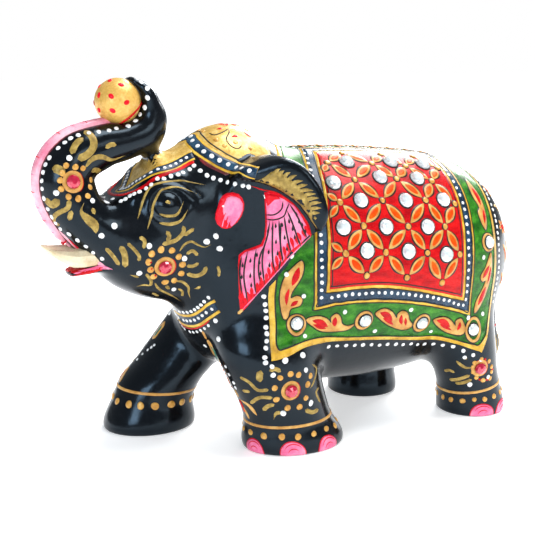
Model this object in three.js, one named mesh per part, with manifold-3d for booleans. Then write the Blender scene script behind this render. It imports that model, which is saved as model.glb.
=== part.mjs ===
// A carved and jewelled wooden elephant, about 170 mm long, trunk raised and holding a ball.
// Millimetres, +Z up. The elephant faces -X and its left flank faces -Y. The soles stand on Z = 0.
// The body is one block of carved wood, so its shape is written as one rounded blend of simple
// solids and turned into a closed faceted surface. The loose pieces that are set into it or glued
// onto it (tusks, ball, ruby cabochons, crystals) are meshes of their own.
import * as THREE from "three";
import Module from "manifold-3d";

const wasm = await Module();
wasm.setup();
const { Manifold, Mesh: ManifoldMesh } = wasm;

// ---------------------------------------------------------------- driving dimensions
const FACET = 4.2; // facet size of the carved surface
const FIT_GAP = 0.3; // air between two pieces that touch on the real object
const GEM_R = 2.35; // ss20 rhinestone, 4.7 mm across
const GEM_H = 1.75;
const BORDER_GEM_R = 1.95; // ss16, on the green border
const BORDER_GEM_H = 1.5;
const RUBY_R = 2.0;
const RUBY_H = 1.5;
const TUSK_SOCKET_GAP = 0.3;

// torso: cx, cy, cz, rx, ry, rz, tilt in degrees, blend
const TORSO = [
  [2, 0, 53, 35, 28, 36, 0, 0],
  [30, 0, 51, 44, 31, 38, 4, 12],
  [57, 0, 51, 32, 29, 33.5, 16, 12],
];
// skull, brow and muzzle
const HEAD = [
  [-15, 0, 77, 19.5, 18, 21, 0, 9],
  [-33, 0, 72, 22, 16, 17, 18, 8],
  [-36, 0, 60, 22, 14.5, 14, 10, 7],
];
// trunk along its centre line: x, z, half depth in the side plane, half width across
const TRUNK = [
  [-46, 65, 11.5, 13], [-57, 70.5, 9.4, 11], [-63.6, 77.8, 8.7, 9.6],
  [-65.4, 84.6, 8.4, 8.6], [-61.8, 90.0, 7.7, 8], [-54, 93.0, 6.7, 7.4],
  [-47.0, 94.4, 6.0, 7], [-41.2, 96.6, 5.9, 6.6], [-39.2, 100.4, 4.9, 6.2],
  [-39.9, 104.6, 3.3, 5.6], [-41.6, 108.4, 2.1, 4.8], [-44.8, 111.2, 1.3, 3.6],
];
const LOWER_LIP = [[-47, 59.2, 4.0, 9], [-56, 58.6, 2.3, 7], [-64.8, 56.9, 1.0, 4]];
// the eye of the curled trunk, cut through from side to side: x, z, half width
const TRUNK_EYE = [[-54.0, 81.0, 2.9], [-49.3, 83.6, 3.7], [-43.2, 87.4, 2.1]];
// legs: sections z, cx, cy, rx, ry
const LEGS = {
  front_left: [[0, -0.5, -18, 16.4, 13], [2.5, -0.8, -18, 16.6, 13.2], [9, -2.5, -18, 14.2, 12], [15, -4.5, -18, 14, 12], [22, -7, -18, 14.8, 12.5], [32, -9, -17, 16.5, 12.5], [45, -6, -12, 17, 12]],
  front_right: [[0, -34.2, 18, 15.1, 12.5], [2.5, -34.2, 18, 15.2, 12.8], [9, -33.0, 18, 13.6, 11.8], [15, -29.8, 18, 13.8, 12], [22, -22.8, 18, 14.4, 12.5], [32, -13.5, 17, 16, 12.5], [45, -5, 12, 17, 12]],
  hind_left: [[0, 69.0, -17.5, 11.3, 11.5], [2.5, 69.0, -17.5, 11.4, 11.6], [9, 68.0, -17.5, 10.6, 11], [15, 66.2, -17.5, 10.8, 11.3], [22, 64, -17.5, 11.9, 12.2], [34, 59.5, -15.5, 16.4, 13], [48, 56, -11, 19, 12]],
  hind_right: [[0, 48.1, 18, 12.3, 12], [2.5, 48.1, 18, 12.4, 12.2], [9, 48.4, 18, 11.6, 11.4], [15, 50.0, 18, 12.0, 11.6], [22, 53, 18, 13.2, 12.3], [34, 56, 15.5, 16.4, 13], [48, 56, 11, 19, 12]],
};
const TAIL = [[82, 0, 62, 3.4], [86.4, 0, 53, 3.4], [88.9, 0, 42, 3.2], [89.6, 0, 30, 3.0], [89.7, 0, 20, 3.0]];
const TUFT = [[89.7, 0, 22, 3.0], [90.2, 0, 15, 4.0], [90.0, 0, 8, 2.0]];
// outline of an ear and of its folded rim, x and z in the side plane
const EAR = [[-24, 80], [-20, 86], [-15.2, 88.7], [-11.9, 89.9], [-8.2, 90.0], [-4.4, 87.7], [-1.1, 83.1], [0.9, 77.9], [1.5, 73.3], [0.2, 69.6], [-2.5, 66.2], [-8.1, 59.4], [-14.4, 51.4], [-20.1, 43.8], [-23.7, 39.8], [-26.0, 44.7], [-28, 51.3], [-29, 58], [-27, 72]];
const EAR_RIM = [[-21, 86], [-15.2, 88.7], [-11.9, 89.9], [-8.2, 90.0], [-4.4, 87.7], [-1.1, 83.1], [0.9, 77.9], [1.5, 73.3], [0.2, 69.6], [-1.3, 68.4], [-4.1, 73.0], [-6.4, 76.5], [-9.4, 79.3], [-12.7, 81.4], [-16.2, 82.8], [-20, 83.2]];
const EAR_PLANE = { front: 14.5, slope: 0.63, from: -30 }; // half width of the ear's face, growing tailward
const EAR_THICK = 9;
const BALL = { x: -48.9, z: 105.6, r: 6.75 };
// tusks: x, half width, z, radius, from the tenon in the mouth to the tip
const TUSK = [[-51, 3.2, 61.8, 2.0], [-55.5, 3.6, 61.6, 2.6], [-60, 3.9, 61.6, 2.85], [-64.5, 4.1, 61.7, 2.8], [-68, 4.2, 62.6, 2.0], [-70.3, 4.2, 63.7, 1.1], [-72, 4.2, 64.7, 0.35]];

// where the stones sit on the flank: x, z
const PANEL_GEMS = {
  a: [[20.1, 85.6], [36.6, 84.7], [48.9, 83.4]],
  b: [[11.6, 80.5], [29.0, 81.0], [42.9, 79.8]],
  c: [[18.8, 75.2], [35.2, 74.1], [49.6, 73.3]],
  d: [[10.7, 68.1], [25.6, 67.2], [40.9, 66.1]],
  e: [[17.7, 60.9], [32.7, 59.4], [46.8, 57.2]],
};
const BORDER_GEMS = [[-4.9, 40.6], [18.0, 39.2], [39.8, 35.7], [59.8, 31.0], [66.1, 58.9]];
const RUBIES = {
  trunk: { left: [-65.8, 84.3], right: [-65.8, 84.3] },
  cheek: { left: [-41.1, 58.8], right: [-41.1, 58.8] },
  foreleg: { left: [-8.3, 21.0], right: [-25.6, 21.0] },
  hindleg: { left: [63.6, 17.4], right: [50.2, 17.4] },
};

// ---------------------------------------------------------------- rounded solids
const smin = (a, b, k) => {
  if (k <= 0) return Math.min(a, b);
  const h = Math.max(k - Math.abs(a - b), 0) / k;
  return Math.min(a, b) - h * h * k * 0.25;
};
const smax = (a, b, k) => -smin(-a, -b, k);
const clamp = (v, lo, hi) => Math.min(Math.max(v, lo), hi);

function ellipsoid(x, y, z, [cx, cy, cz, rx, ry, rz, tilt]) {
  let X = x - cx, Z = z - cz;
  const Y = y - cy, t = (tilt * Math.PI) / 180;
  [X, Z] = [X * Math.cos(t) - Z * Math.sin(t), X * Math.sin(t) + Z * Math.cos(t)];
  const k0 = Math.hypot(X / rx, Y / ry, Z / rz);
  const k1 = Math.hypot(X / rx ** 2, Y / ry ** 2, Z / rz ** 2);
  return (k0 * (k0 - 1)) / Math.max(k1, 1e-9);
}

// Catmull-Rom through rows of numbers, open or closed
function catmull(p0, p1, p2, p3, t) {
  return p1.map((v, i) => 0.5 * (2 * v + (p2[i] - p0[i]) * t + (2 * p0[i] - 5 * v + 4 * p2[i] - p3[i]) * t * t + (3 * v - p0[i] - 3 * p2[i] + p3[i]) * t ** 3));
}
function spline(rows, n) {
  const m = rows.length, out = [];
  const before = rows[0].map((v, i) => 2 * v - rows[1][i]);
  const after = rows[m - 1].map((v, i) => 2 * v - rows[m - 2][i]);
  for (let i = 0; i <= n; i++) {
    const s = (i * (m - 1)) / n, j = Math.min(Math.floor(s), m - 2);
    out.push(catmull(j > 0 ? rows[j - 1] : before, rows[j], rows[j + 1], j + 2 < m ? rows[j + 2] : after, s - j));
  }
  return out;
}
function loop(rows, n) {
  const m = rows.length, out = [];
  for (let j = 0; j < m; j++)
    for (let i = 0; i < n; i++) out.push(catmull(rows[(j + m - 1) % m], rows[j], rows[(j + 1) % m], rows[(j + 2) % m], i / n));
  return out;
}

// a chain in the side plane with an elliptical section
function flatChain(x, y, z, rows) {
  let d = 1e9;
  for (let i = 0; i + 1 < rows.length; i++) {
    const a = rows[i], b = rows[i + 1];
    const bx = b[0] - a[0], bz = b[1] - a[1];
    const t = clamp(((x - a[0]) * bx + (z - a[1]) * bz) / (bx * bx + bz * bz), 0, 1);
    const r = Math.hypot(x - a[0] - t * bx, z - a[1] - t * bz);
    const ra = a[2] + t * (b[2] - a[2]), rb = a[3] + t * (b[3] - a[3]);
    const k0 = Math.hypot(r / ra, y / rb), k1 = Math.hypot(r / ra ** 2, y / rb ** 2);
    d = Math.min(d, k1 > 1e-6 ? (k0 * (k0 - 1)) / k1 : -Math.min(ra, rb));
  }
  return d;
}
// a chain of round sections: x, y, z, radius
function roundChain(x, y, z, rows) {
  let d = 1e9;
  for (let i = 0; i + 1 < rows.length; i++) {
    const a = rows[i], b = rows[i + 1];
    const B = [b[0] - a[0], b[1] - a[1], b[2] - a[2]];
    const L = B[0] ** 2 + B[1] ** 2 + B[2] ** 2;
    const t = clamp(((x - a[0]) * B[0] + (y - a[1]) * B[1] + (z - a[2]) * B[2]) / L, 0, 1);
    d = Math.min(d, Math.hypot(x - a[0] - t * B[0], y - a[1] - t * B[1], z - a[2] - t * B[2]) - (a[3] + t * (b[3] - a[3])));
  }
  return d;
}
function cubic(table, column, z) {
  const n = table.length, zs = table.map((r) => r[0]), v = table.map((r) => r[column]);
  const slope = (i, j) => (v[j] - v[i]) / (zs[j] - zs[i]);
  const m = v.map((_, i) => (i === 0 ? slope(0, 1) : i === n - 1 ? slope(n - 2, n - 1) : (slope(i, i + 1) + slope(i - 1, i)) / 2));
  const zc = clamp(z, zs[0], zs[n - 1]);
  let i = 0;
  while (i < n - 2 && zc >= zs[i + 1]) i++;
  const h = zs[i + 1] - zs[i], t = (zc - zs[i]) / h;
  return (1 + 2 * t) * (1 - t) ** 2 * v[i] + t * (1 - t) ** 2 * h * m[i] + t * t * (3 - 2 * t) * v[i + 1] + t * t * (t - 1) * h * m[i + 1];
}
function leg(x, y, z, table) {
  const [cx, cy, rx, ry] = [1, 2, 3, 4].map((k) => cubic(table, k, z));
  const k0 = Math.hypot((x - cx) / rx, (y - cy) / ry), k1 = Math.hypot((x - cx) / rx ** 2, (y - cy) / ry ** 2);
  const d = k1 < 1e-6 ? -Math.min(rx, ry) : (k0 * (k0 - 1)) / k1;
  const over = z - table[table.length - 1][0];
  return over > 0 ? Math.hypot(Math.max(d, 0), over) : d;
}
function polygon(x, z, P) {
  let d = 1e9, s = 1;
  for (let i = 0; i < P.length; i++) {
    const a = P[i], b = P[(i + P.length - 1) % P.length];
    const ex = b[0] - a[0], ez = b[1] - a[1], wx = x - a[0], wz = z - a[1];
    const t = clamp((wx * ex + wz * ez) / (ex * ex + ez * ez), 0, 1);
    d = Math.min(d, (wx - ex * t) ** 2 + (wz - ez * t) ** 2);
    const c1 = z >= a[1], c2 = z < b[1], c3 = ex * wz > ez * wx;
    if ((c1 && c2 && c3) || (!c1 && !c2 && !c3)) s = -s;
  }
  return s * Math.sqrt(d);
}
const TRUNK_LINE = spline(TRUNK, 44), TAIL_LINE = spline(TAIL, 12), TUFT_LINE = spline(TUFT, 8);
const EAR_LINE = loop(EAR, 3), RIM_LINE = loop(EAR_RIM, 3);
function ear(x, y, z) {
  if (x < -45 || x > 16 || z < 26 || z > 104) return 9;
  const f = (Math.abs(y) - (EAR_PLANE.front + EAR_PLANE.slope * (x - EAR_PLANE.from))) / Math.hypot(1, EAR_PLANE.slope);
  const slab = smax(polygon(x, z, EAR_LINE), Math.abs(f + EAR_THICK / 2) - EAR_THICK / 2, 2.2);
  const rim = smax(polygon(x, z, RIM_LINE) + 0.3, Math.abs(f - 0.2) - 2.2, 2.5);
  return smin(slab, rim, 0.8);
}
function body(x, y, z) {
  let d = ellipsoid(x, y, z, TORSO[0]);
  for (const t of TORSO.slice(1)) d = smin(d, ellipsoid(x, y, z, t), t[7]);
  for (const l of Object.values(LEGS)) d = smin(d, leg(x, y, z, l), 5);
  let h = ellipsoid(x, y, z, HEAD[0]);
  for (const t of HEAD.slice(1)) h = smin(h, ellipsoid(x, y, z, t), t[7]);
  h = smin(h, flatChain(x, y, z, TRUNK_LINE), 5);
  h = smin(h, flatChain(x, y, z, LOWER_LIP), 1.5);
  d = smin(d, h, 7);
  d = smin(d, ear(x, y, z), 1.5);
  d = smin(d, roundChain(x, y, z, TAIL_LINE), 3);
  d = smin(d, roundChain(x, y, z, TUFT_LINE), 1);
  const eye = roundChain(x, 0, z, TRUNK_EYE.map(([a, b, r]) => [a, 0, b, r]));
  return smax(d, -eye, 2.5);
}

// ---------------------------------------------------------------- faceting
function gradient(f, x, y, z, e = 0.02) {
  const g = [f(x + e, y, z) - f(x - e, y, z), f(x, y + e, z) - f(x, y - e, z), f(x, y, z + e) - f(x, y, z - e)];
  return g.map((v) => v / (2 * e));
}
// one vertex in each cell the surface passes through, joined into two triangles per crossed edge
function facet(f, lo, hi, h) {
  const n = lo.map((v, i) => Math.ceil((hi[i] - v) / h) + 1);
  const at = (i, j, k) => (k * n[1] + j) * n[0] + i;
  const value = new Float64Array(n[0] * n[1] * n[2]);
  for (let k = 0; k < n[2]; k++)
    for (let j = 0; j < n[1]; j++)
      for (let i = 0; i < n[0]; i++) value[at(i, j, k)] = f(lo[0] + i * h, lo[1] + j * h, lo[2] + k * h);
  const cell = new Map(), points = [];
  const corner = [[0, 0, 0], [1, 0, 0], [0, 1, 0], [1, 1, 0], [0, 0, 1], [1, 0, 1], [0, 1, 1], [1, 1, 1]];
  const edges = [[0, 1], [2, 3], [4, 5], [6, 7], [0, 2], [1, 3], [4, 6], [5, 7], [0, 4], [1, 5], [2, 6], [3, 7]];
  for (let k = 0; k + 1 < n[2]; k++)
    for (let j = 0; j + 1 < n[1]; j++)
      for (let i = 0; i + 1 < n[0]; i++) {
        const v = corner.map(([a, b, c]) => value[at(i + a, j + b, k + c)]);
        if (v.every((q) => q < 0) || v.every((q) => q >= 0)) continue;
        const p = [0, 0, 0];
        let count = 0;
        for (const [a, b] of edges) {
          if (v[a] < 0 === v[b] < 0) continue;
          const t = v[a] / (v[a] - v[b]);
          for (let q = 0; q < 3; q++) p[q] += corner[a][q] + t * (corner[b][q] - corner[a][q]);
          count++;
        }
        const at0 = [i, j, k], w = p.map((q, m) => lo[m] + (at0[m] + q / count) * h);
        for (let pass = 0; pass < 4; pass++) {
          const d = f(...w), g = gradient(f, ...w), gg = g[0] ** 2 + g[1] ** 2 + g[2] ** 2;
          if (gg < 1e-4) break;
          for (let m = 0; m < 3; m++) w[m] = clamp(w[m] - (0.8 * d * g[m]) / gg, lo[m] + (at0[m] + 0.06) * h, lo[m] + (at0[m] + 0.94) * h);
        }
        cell.set(at(i, j, k), points.length / 3);
        points.push(...w);
      }
  const faces = [];
  const quad = (a, b, c, d, flip) => {
    const P = (m) => [points[3 * m], points[3 * m + 1], points[3 * m + 2]];
    const mid = (m, o) => Math.abs(f(...P(m).map((v, q) => (v + P(o)[q]) / 2)));
    const [t1, t2] = mid(a, c) <= mid(b, d) ? [[a, b, c], [a, c, d]] : [[b, c, d], [b, d, a]];
    for (const t of [t1, t2]) faces.push(...(flip ? [t[0], t[2], t[1]] : t));
  };
  for (let k = 1; k + 1 < n[2]; k++)
    for (let j = 1; j + 1 < n[1]; j++)
      for (let i = 1; i + 1 < n[0]; i++) {
        const s = value[at(i, j, k)] < 0;
        const c = (a, b, e) => cell.get(at(i + a, j + b, k + e));
        if (s !== value[at(i + 1, j, k)] < 0) quad(c(0, -1, -1), c(0, 0, -1), c(0, 0, 0), c(0, -1, 0), !s);
        if (s !== value[at(i, j + 1, k)] < 0) quad(c(-1, 0, -1), c(-1, 0, 0), c(0, 0, 0), c(0, 0, -1), !s);
        if (s !== value[at(i, j, k + 1)] < 0) quad(c(-1, -1, 0), c(0, -1, 0), c(0, 0, 0), c(-1, 0, 0), !s);
      }
  return { points, faces };
}

// ---------------------------------------------------------------- solids of the set stones, ball and tusks
function geometryOf(points, faces) {
  const g = new THREE.BufferGeometry();
  g.setAttribute("position", new THREE.Float32BufferAttribute(points, 3));
  g.setIndex(faces);
  g.computeVertexNormals();
  return g;
}
function solidOf(points, faces) {
  const m = new ManifoldMesh({ numProp: 3, vertProperties: new Float32Array(points), triVerts: new Uint32Array(faces) });
  return new Manifold(m);
}
function geometryOfSolid(solid) {
  const m = solid.getMesh(), p = [];
  for (let i = 0; i < m.numVert; i++) p.push(m.vertProperties[i * m.numProp], m.vertProperties[i * m.numProp + 1], m.vertProperties[i * m.numProp + 2]);
  return geometryOf(p, [...m.triVerts]);
}
const enamel = (color, roughness = 0.22, metalness = 0) => new THREE.MeshStandardMaterial({ color, roughness, metalness });
const group = new THREE.Group();
group.name = "jewelled_elephant";
function add(name, geometry, material) {
  const mesh = new THREE.Mesh(geometry, material);
  mesh.name = name;
  group.add(mesh);
  return mesh;
}
// rings of points joined into one closed skin; rings[i] all have the same count
function skin(rings, startCap = true, endCap = true) {
  const m = rings[0].length, points = rings.flat(2), faces = [];
  for (let i = 0; i + 1 < rings.length; i++)
    for (let j = 0; j < m; j++) {
      const a = i * m + j, b = i * m + ((j + 1) % m), c = a + m, d = b + m;
      faces.push(a, b, d, a, d, c);
    }
  if (startCap) for (let j = 1; j + 1 < m; j++) faces.push(0, j + 1, j);
  const e = (rings.length - 1) * m;
  if (endCap) for (let j = 1; j + 1 < m; j++) faces.push(e, e + j, e + j + 1);
  return { points, faces };
}
function ring(radius, height, count, turn = 0) {
  return Array.from({ length: count }, (_, j) => {
    const a = ((j + turn) * 2 * Math.PI) / count;
    return [radius * Math.cos(a), radius * Math.sin(a), height];
  });
}
function tube(rows, count, grow = 0) {
  const rings = rows.map((r, i) => {
    const p = rows[Math.max(i - 1, 0)], q = rows[Math.min(i + 1, rows.length - 1)];
    const t = new THREE.Vector3(q[0] - p[0], q[1] - p[1], q[2] - p[2]).normalize();
    const u = new THREE.Vector3(0, 1, 0).cross(t).normalize(), v = t.clone().cross(u);
    return Array.from({ length: count }, (_, j) => {
      const a = (j * 2 * Math.PI) / count, w = r[3] + grow;
      return [0, 1, 2].map((k) => r[k] + w * (Math.cos(a) * u.getComponent(k) + Math.sin(a) * v.getComponent(k)));
    });
  });
  return skin(rings);
}

// ---------------------------------------------------------------- body
const BOX = { lo: [-83.9, -(FACET * 12), -FACET * 2.5], hi: [101, FACET * 12, 120] };
// the legs run on a little under the soles, and the block is then cut flat on Z = 0
const carved = facet((x, y, z) => smax(body(x, y, z), -z - 5, 0), BOX.lo, BOX.hi, FACET);
let block = solidOf(carved.points, carved.faces).trimByPlane([0, 0, 1], 0);

// seat of the ball, and a socket for each tusk's tenon
const seat = new THREE.SphereGeometry(BALL.r + FIT_GAP + 0.1, 20, 12).translate(BALL.x, 0, BALL.z);
function solidOfGeometry(g) {
  const plain = new THREE.BufferGeometry().setAttribute("position", g.getAttribute("position")).setIndex(g.getIndex());
  const m = new ManifoldMesh({ numProp: 3, vertProperties: new Float32Array(plain.attributes.position.array), triVerts: new Uint32Array(plain.index.array) });
  m.merge();
  return new Manifold(m);
}
block = block.subtract(solidOfGeometry(seat));
const tuskRows = (side) => spline(TUSK, 10).map(([x, y, z, r]) => [x, side * y, z, r]);
for (const side of [-1, 1]) {
  const rows = tuskRows(side);
  const first = rows[0], next = rows[1];
  rows[0] = first.map((v, i) => (i < 3 ? v + (v - next[i]) * 0.25 : v)); // the socket is a little deeper than the tenon
  const s = tube(rows, 10, TUSK_SOCKET_GAP);
  block = block.subtract(solidOf(s.points, s.faces));
}
const pieces = block.decompose().sort((a, b) => b.volume() - a.volume());
block = pieces[0];
add("body", geometryOfSolid(block), enamel("#0b0b0e", 0.12));

// ---------------------------------------------------------------- ball and tusks
const ballGeometry = new THREE.SphereGeometry(BALL.r, 20, 12).translate(BALL.x, 0, BALL.z);
add("ball", geometryOfSolid(solidOfGeometry(ballGeometry)), enamel("#c9972f", 0.35, 0.4));
for (const [name, side] of [["tusk_left", -1], ["tusk_right", 1]]) {
  const t = tube(tuskRows(side), 10);
  add(name, geometryOf(t.points, t.faces), enamel("#efe3c8", 0.3));
}

// ---------------------------------------------------------------- stones
// the point of the body's flank at x and z, looked for from outside, and the way the surface faces there
function flank(x, z, side) {
  let y = side * 46;
  for (let i = 0; i < 400; i++) {
    const d = body(x, y, z);
    if (d < 1e-4) break;
    y -= side * Math.max(d * 0.7, 1e-4);
  }
  const g = gradient(body, x, y, z);
  return { point: new THREE.Vector3(x, y, z), normal: new THREE.Vector3(...g).normalize() };
}
function rhinestone(r, h) {
  return skin([ring(r, 0, 12), ring(r, 0.35, 12), ring(r * 0.8, h * 0.68, 12, 0.5), ring(r * 0.5, h, 12, 0)]);
}
function cabochon(r, h) {
  return skin([ring(r, 0, 12), ring(r, 0.4, 12), ring(r * 0.82, h * 0.72, 12), ring(r * 0.36, h, 12)]);
}
function stone(name, shape, at, side, material) {
  const { point, normal } = flank(at[0], at[1], side);
  const turn = new THREE.Quaternion().setFromUnitVectors(new THREE.Vector3(0, 0, 1), normal);
  const m = new THREE.Matrix4().compose(point.clone().addScaledVector(normal, FIT_GAP), turn, new THREE.Vector3(1, 1, 1));
  const g = geometryOf(shape.points, shape.faces).applyMatrix4(m);
  add(name, g, material);
}
const crystal = () => new THREE.MeshStandardMaterial({ color: "#dfeef5", roughness: 0.05, metalness: 0.2 });
for (const [word, side] of [["left", -1], ["right", 1]]) {
  for (const [row, list] of Object.entries(PANEL_GEMS))
    list.forEach((at, i) => stone(`crystal_${word}_${row}${i + 1}`, rhinestone(GEM_R, GEM_H), at, side, crystal()));
  BORDER_GEMS.forEach((at, i) => stone(`crystal_${word}_border${i + 1}`, rhinestone(BORDER_GEM_R, BORDER_GEM_H), at, side, crystal()));
  for (const [place, at] of Object.entries(RUBIES)) stone(`ruby_${place}_${word}`, cabochon(RUBY_R, RUBY_H), at[word], side, enamel("#c0123a", 0.08));
}

// ---------------------------------------------------------------- frame: origin under the middle of the whole figure
const whole = new THREE.Box3().setFromObject(group);
group.position.set(-(whole.min.x + whole.max.x) / 2, -(whole.min.y + whole.max.y) / 2, -whole.min.z);
group.updateMatrixWorld(true);

export default group;
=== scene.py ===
import bpy, math
import numpy as np
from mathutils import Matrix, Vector
from mathutils.geometry import delaunay_2d_cdt


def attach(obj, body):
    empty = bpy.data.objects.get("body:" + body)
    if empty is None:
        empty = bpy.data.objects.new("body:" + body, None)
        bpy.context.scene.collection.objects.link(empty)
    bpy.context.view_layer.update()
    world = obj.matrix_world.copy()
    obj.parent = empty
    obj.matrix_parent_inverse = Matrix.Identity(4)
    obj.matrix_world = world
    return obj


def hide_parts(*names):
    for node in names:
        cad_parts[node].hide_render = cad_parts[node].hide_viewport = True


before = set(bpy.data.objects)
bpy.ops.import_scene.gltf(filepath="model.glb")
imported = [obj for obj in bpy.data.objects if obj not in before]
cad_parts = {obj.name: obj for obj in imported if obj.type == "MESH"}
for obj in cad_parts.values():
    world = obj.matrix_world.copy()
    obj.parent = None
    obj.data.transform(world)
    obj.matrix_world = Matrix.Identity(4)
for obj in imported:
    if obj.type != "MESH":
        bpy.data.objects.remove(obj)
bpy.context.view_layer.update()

# Everything below is written in the carving's own millimetres; SHIFT moves them into the row frame.
SHIFT = np.array([-10.1038, 0.0, 0.0])
def to_frame(P): return (np.asarray(P, float) + SHIFT) * 0.001

# ------------------------------------------------------------------ the carved form
TORSO = [(2,0,53,35,28,36,0,0),(30,0,51,44,31,38,4,12),(57,0,51,32,29,33.5,16,12)]
HEAD = [(-15,0,77,19.5,18,21,0,9),(-33,0,72,22,16,17,18,8),(-36,0,60,22,14.5,14,10,7)]
TRUNK = [(-46,65,11.5,13),(-57,70.5,9.4,11),(-63.6,77.8,8.7,9.6),(-65.4,84.6,8.4,8.6),(-61.8,90.0,7.7,8),(-54,93.0,6.7,7.4),(-47.0,94.4,6.0,7),(-41.2,96.6,5.9,6.6),(-39.2,100.4,4.9,6.2),(-39.9,104.6,3.3,5.6),(-41.6,108.4,2.1,4.8),(-44.8,111.2,1.3,3.6)]
LIP = [(-47,59.2,4.0,9),(-56,58.6,2.3,7),(-64.8,56.9,1.0,4)]
SLOT = [(-54.0,81.0,2.9),(-49.3,83.6,3.7),(-43.2,87.4,2.1)]
LEGS = {
 'NF':[(0,-0.5,-18,16.4,13),(2.5,-0.8,-18,16.6,13.2),(9,-2.5,-18,14.2,12),(15,-4.5,-18,14,12),(22,-7,-18,14.8,12.5),(32,-9,-17,16.5,12.5),(45,-6,-12,17,12)],
 'FF':[(0,-34.2,18,15.1,12.5),(2.5,-34.2,18,15.2,12.8),(9,-33.0,18,13.6,11.8),(15,-29.8,18,13.8,12),(22,-22.8,18,14.4,12.5),(32,-13.5,17,16,12.5),(45,-5,12,17,12)],
 'NH':[(0,69.0,-17.5,11.3,11.5),(2.5,69.0,-17.5,11.4,11.6),(9,68.0,-17.5,10.6,11),(15,66.2,-17.5,10.8,11.3),(22,64,-17.5,11.9,12.2),(34,59.5,-15.5,16.4,13),(48,56,-11,19,12)],
 'FH':[(0,48.1,18,12.3,12),(2.5,48.1,18,12.4,12.2),(9,48.4,18,11.6,11.4),(15,50.0,18,12.0,11.6),(22,53,18,13.2,12.3),(34,56,15.5,16.4,13),(48,56,11,19,12)]}
TAIL = [(82,0,62,3.4),(86.4,0,53,3.4),(88.9,0,42,3.2),(89.6,0,30,3.0),(89.7,0,20,3.0)]
TUFT = [(89.7,0,22,3.0),(90.2,0,15,4.0),(90.0,0,8,2.0)]
EAR = [(-24,80),(-20,86),(-15.2,88.7),(-11.9,89.9),(-8.2,90.0),(-4.4,87.7),(-1.1,83.1),(0.9,77.9),(1.5,73.3),(0.2,69.6),(-2.5,66.2),(-8.1,59.4),(-14.4,51.4),(-20.1,43.8),(-23.7,39.8),(-26.0,44.7),(-28,51.3),(-29,58),(-27,72)]
FOLD = [(-21,86),(-15.2,88.7),(-11.9,89.9),(-8.2,90.0),(-4.4,87.7),(-1.1,83.1),(0.9,77.9),(1.5,73.3),(0.2,69.6),(-1.3,68.4),(-4.1,73.0),(-6.4,76.5),(-9.4,79.3),(-12.7,81.4),(-16.2,82.8),(-20,83.2)]
BALL = (-48.9,0,105.6,6.75)

def smin(a, b, k):
    h = np.maximum(k - np.abs(a - b), 0) / k
    return np.minimum(a, b) - h * h * k * 0.25
def smax(a, b, k): return -smin(-a, -b, k)
def ell(x, y, z, c):
    cx,cy,cz,rx,ry,rz,tilt = c[:7]
    X,Y,Z = x-cx,y-cy,z-cz
    if tilt:
        t = math.radians(tilt); X,Z = X*math.cos(t)-Z*math.sin(t), X*math.sin(t)+Z*math.cos(t)
    k0 = np.sqrt((X/rx)**2+(Y/ry)**2+(Z/rz)**2)
    k1 = np.sqrt((X/rx**2)**2+(Y/ry**2)**2+(Z/rz**2)**2)
    return k0*(k0-1)/np.maximum(k1, 1e-9)
def crom(p0, p1, p2, p3, t):
    return 0.5*((2*p1)+(-p0+p2)*t+(2*p0-5*p1+4*p2-p3)*t*t+(-p0+3*p1-3*p2+p3)*t**3)
def spline(pts, n):
    p = np.array(pts, float); m = len(p); out = []
    if m == 2: return np.array([p[0]+(p[1]-p[0])*i/n for i in range(n+1)])
    for i in range(n+1):
        s = i*(m-1)/n; j = min(int(s), m-2); t = s-j
        out.append(crom(p[j-1] if j > 0 else 2*p[0]-p[1], p[j], p[j+1], p[j+2] if j+2 < m else 2*p[-1]-p[-2], t))
    return np.array(out)
def loop(pts, n):
    p = np.array(pts, float); m = len(p)
    return np.array([crom(p[j-1], p[j], p[(j+1)%m], p[(j+2)%m], i/n) for j in range(m) for i in range(n)])
def chain(x, y, z, S):
    d = np.full(x.shape, 1e3)
    for a, b in zip(S[:-1], S[1:]):
        bx,bz = b[0]-a[0],b[1]-a[1]
        t = np.clip(((x-a[0])*bx+(z-a[1])*bz)/(bx*bx+bz*bz), 0, 1)
        r = np.sqrt((x-a[0]-t*bx)**2+(z-a[1]-t*bz)**2)
        ra = a[2]+t*(b[2]-a[2]); rb = a[3]+t*(b[3]-a[3])
        k0 = np.sqrt((r/ra)**2+(y/rb)**2); k1 = np.sqrt((r/ra**2)**2+(y/rb**2)**2)
        d = np.minimum(d, np.where(k1 > 1e-6, k0*(k0-1)/np.maximum(k1, 1e-9), -np.minimum(ra, rb)))
    return d
def caps(x, y, z, S):
    d = np.full(x.shape, 1e3)
    for a, b in zip(S[:-1], S[1:]):
        B = b[:3]-a[:3]
        t = np.clip(((x-a[0])*B[0]+(y-a[1])*B[1]+(z-a[2])*B[2])/float(B@B), 0, 1)
        q = np.sqrt((x-a[0]-t*B[0])**2+(y-a[1]-t*B[1])**2+(z-a[2]-t*B[2])**2)
        d = np.minimum(d, q-(a[3]+t*(b[3]-a[3])))
    return d
def cubic(tab, col, z):
    T = np.array(tab, float); zs,v = T[:,0],T[:,col]; n = len(zs); m = np.zeros(n)
    s = np.diff(v)/np.diff(zs); m[0],m[-1] = s[0],s[-1]; m[1:-1] = (s[1:]+s[:-1])/2
    zc = np.clip(z, zs[0], zs[-1]); i = np.clip(np.searchsorted(zs, zc, side='right')-1, 0, n-2)
    h = zs[i+1]-zs[i]; t = (zc-zs[i])/h
    return (1+2*t)*(1-t)**2*v[i]+t*(1-t)**2*h*m[i]+t*t*(3-2*t)*v[i+1]+t*t*(t-1)*h*m[i+1]
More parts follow.
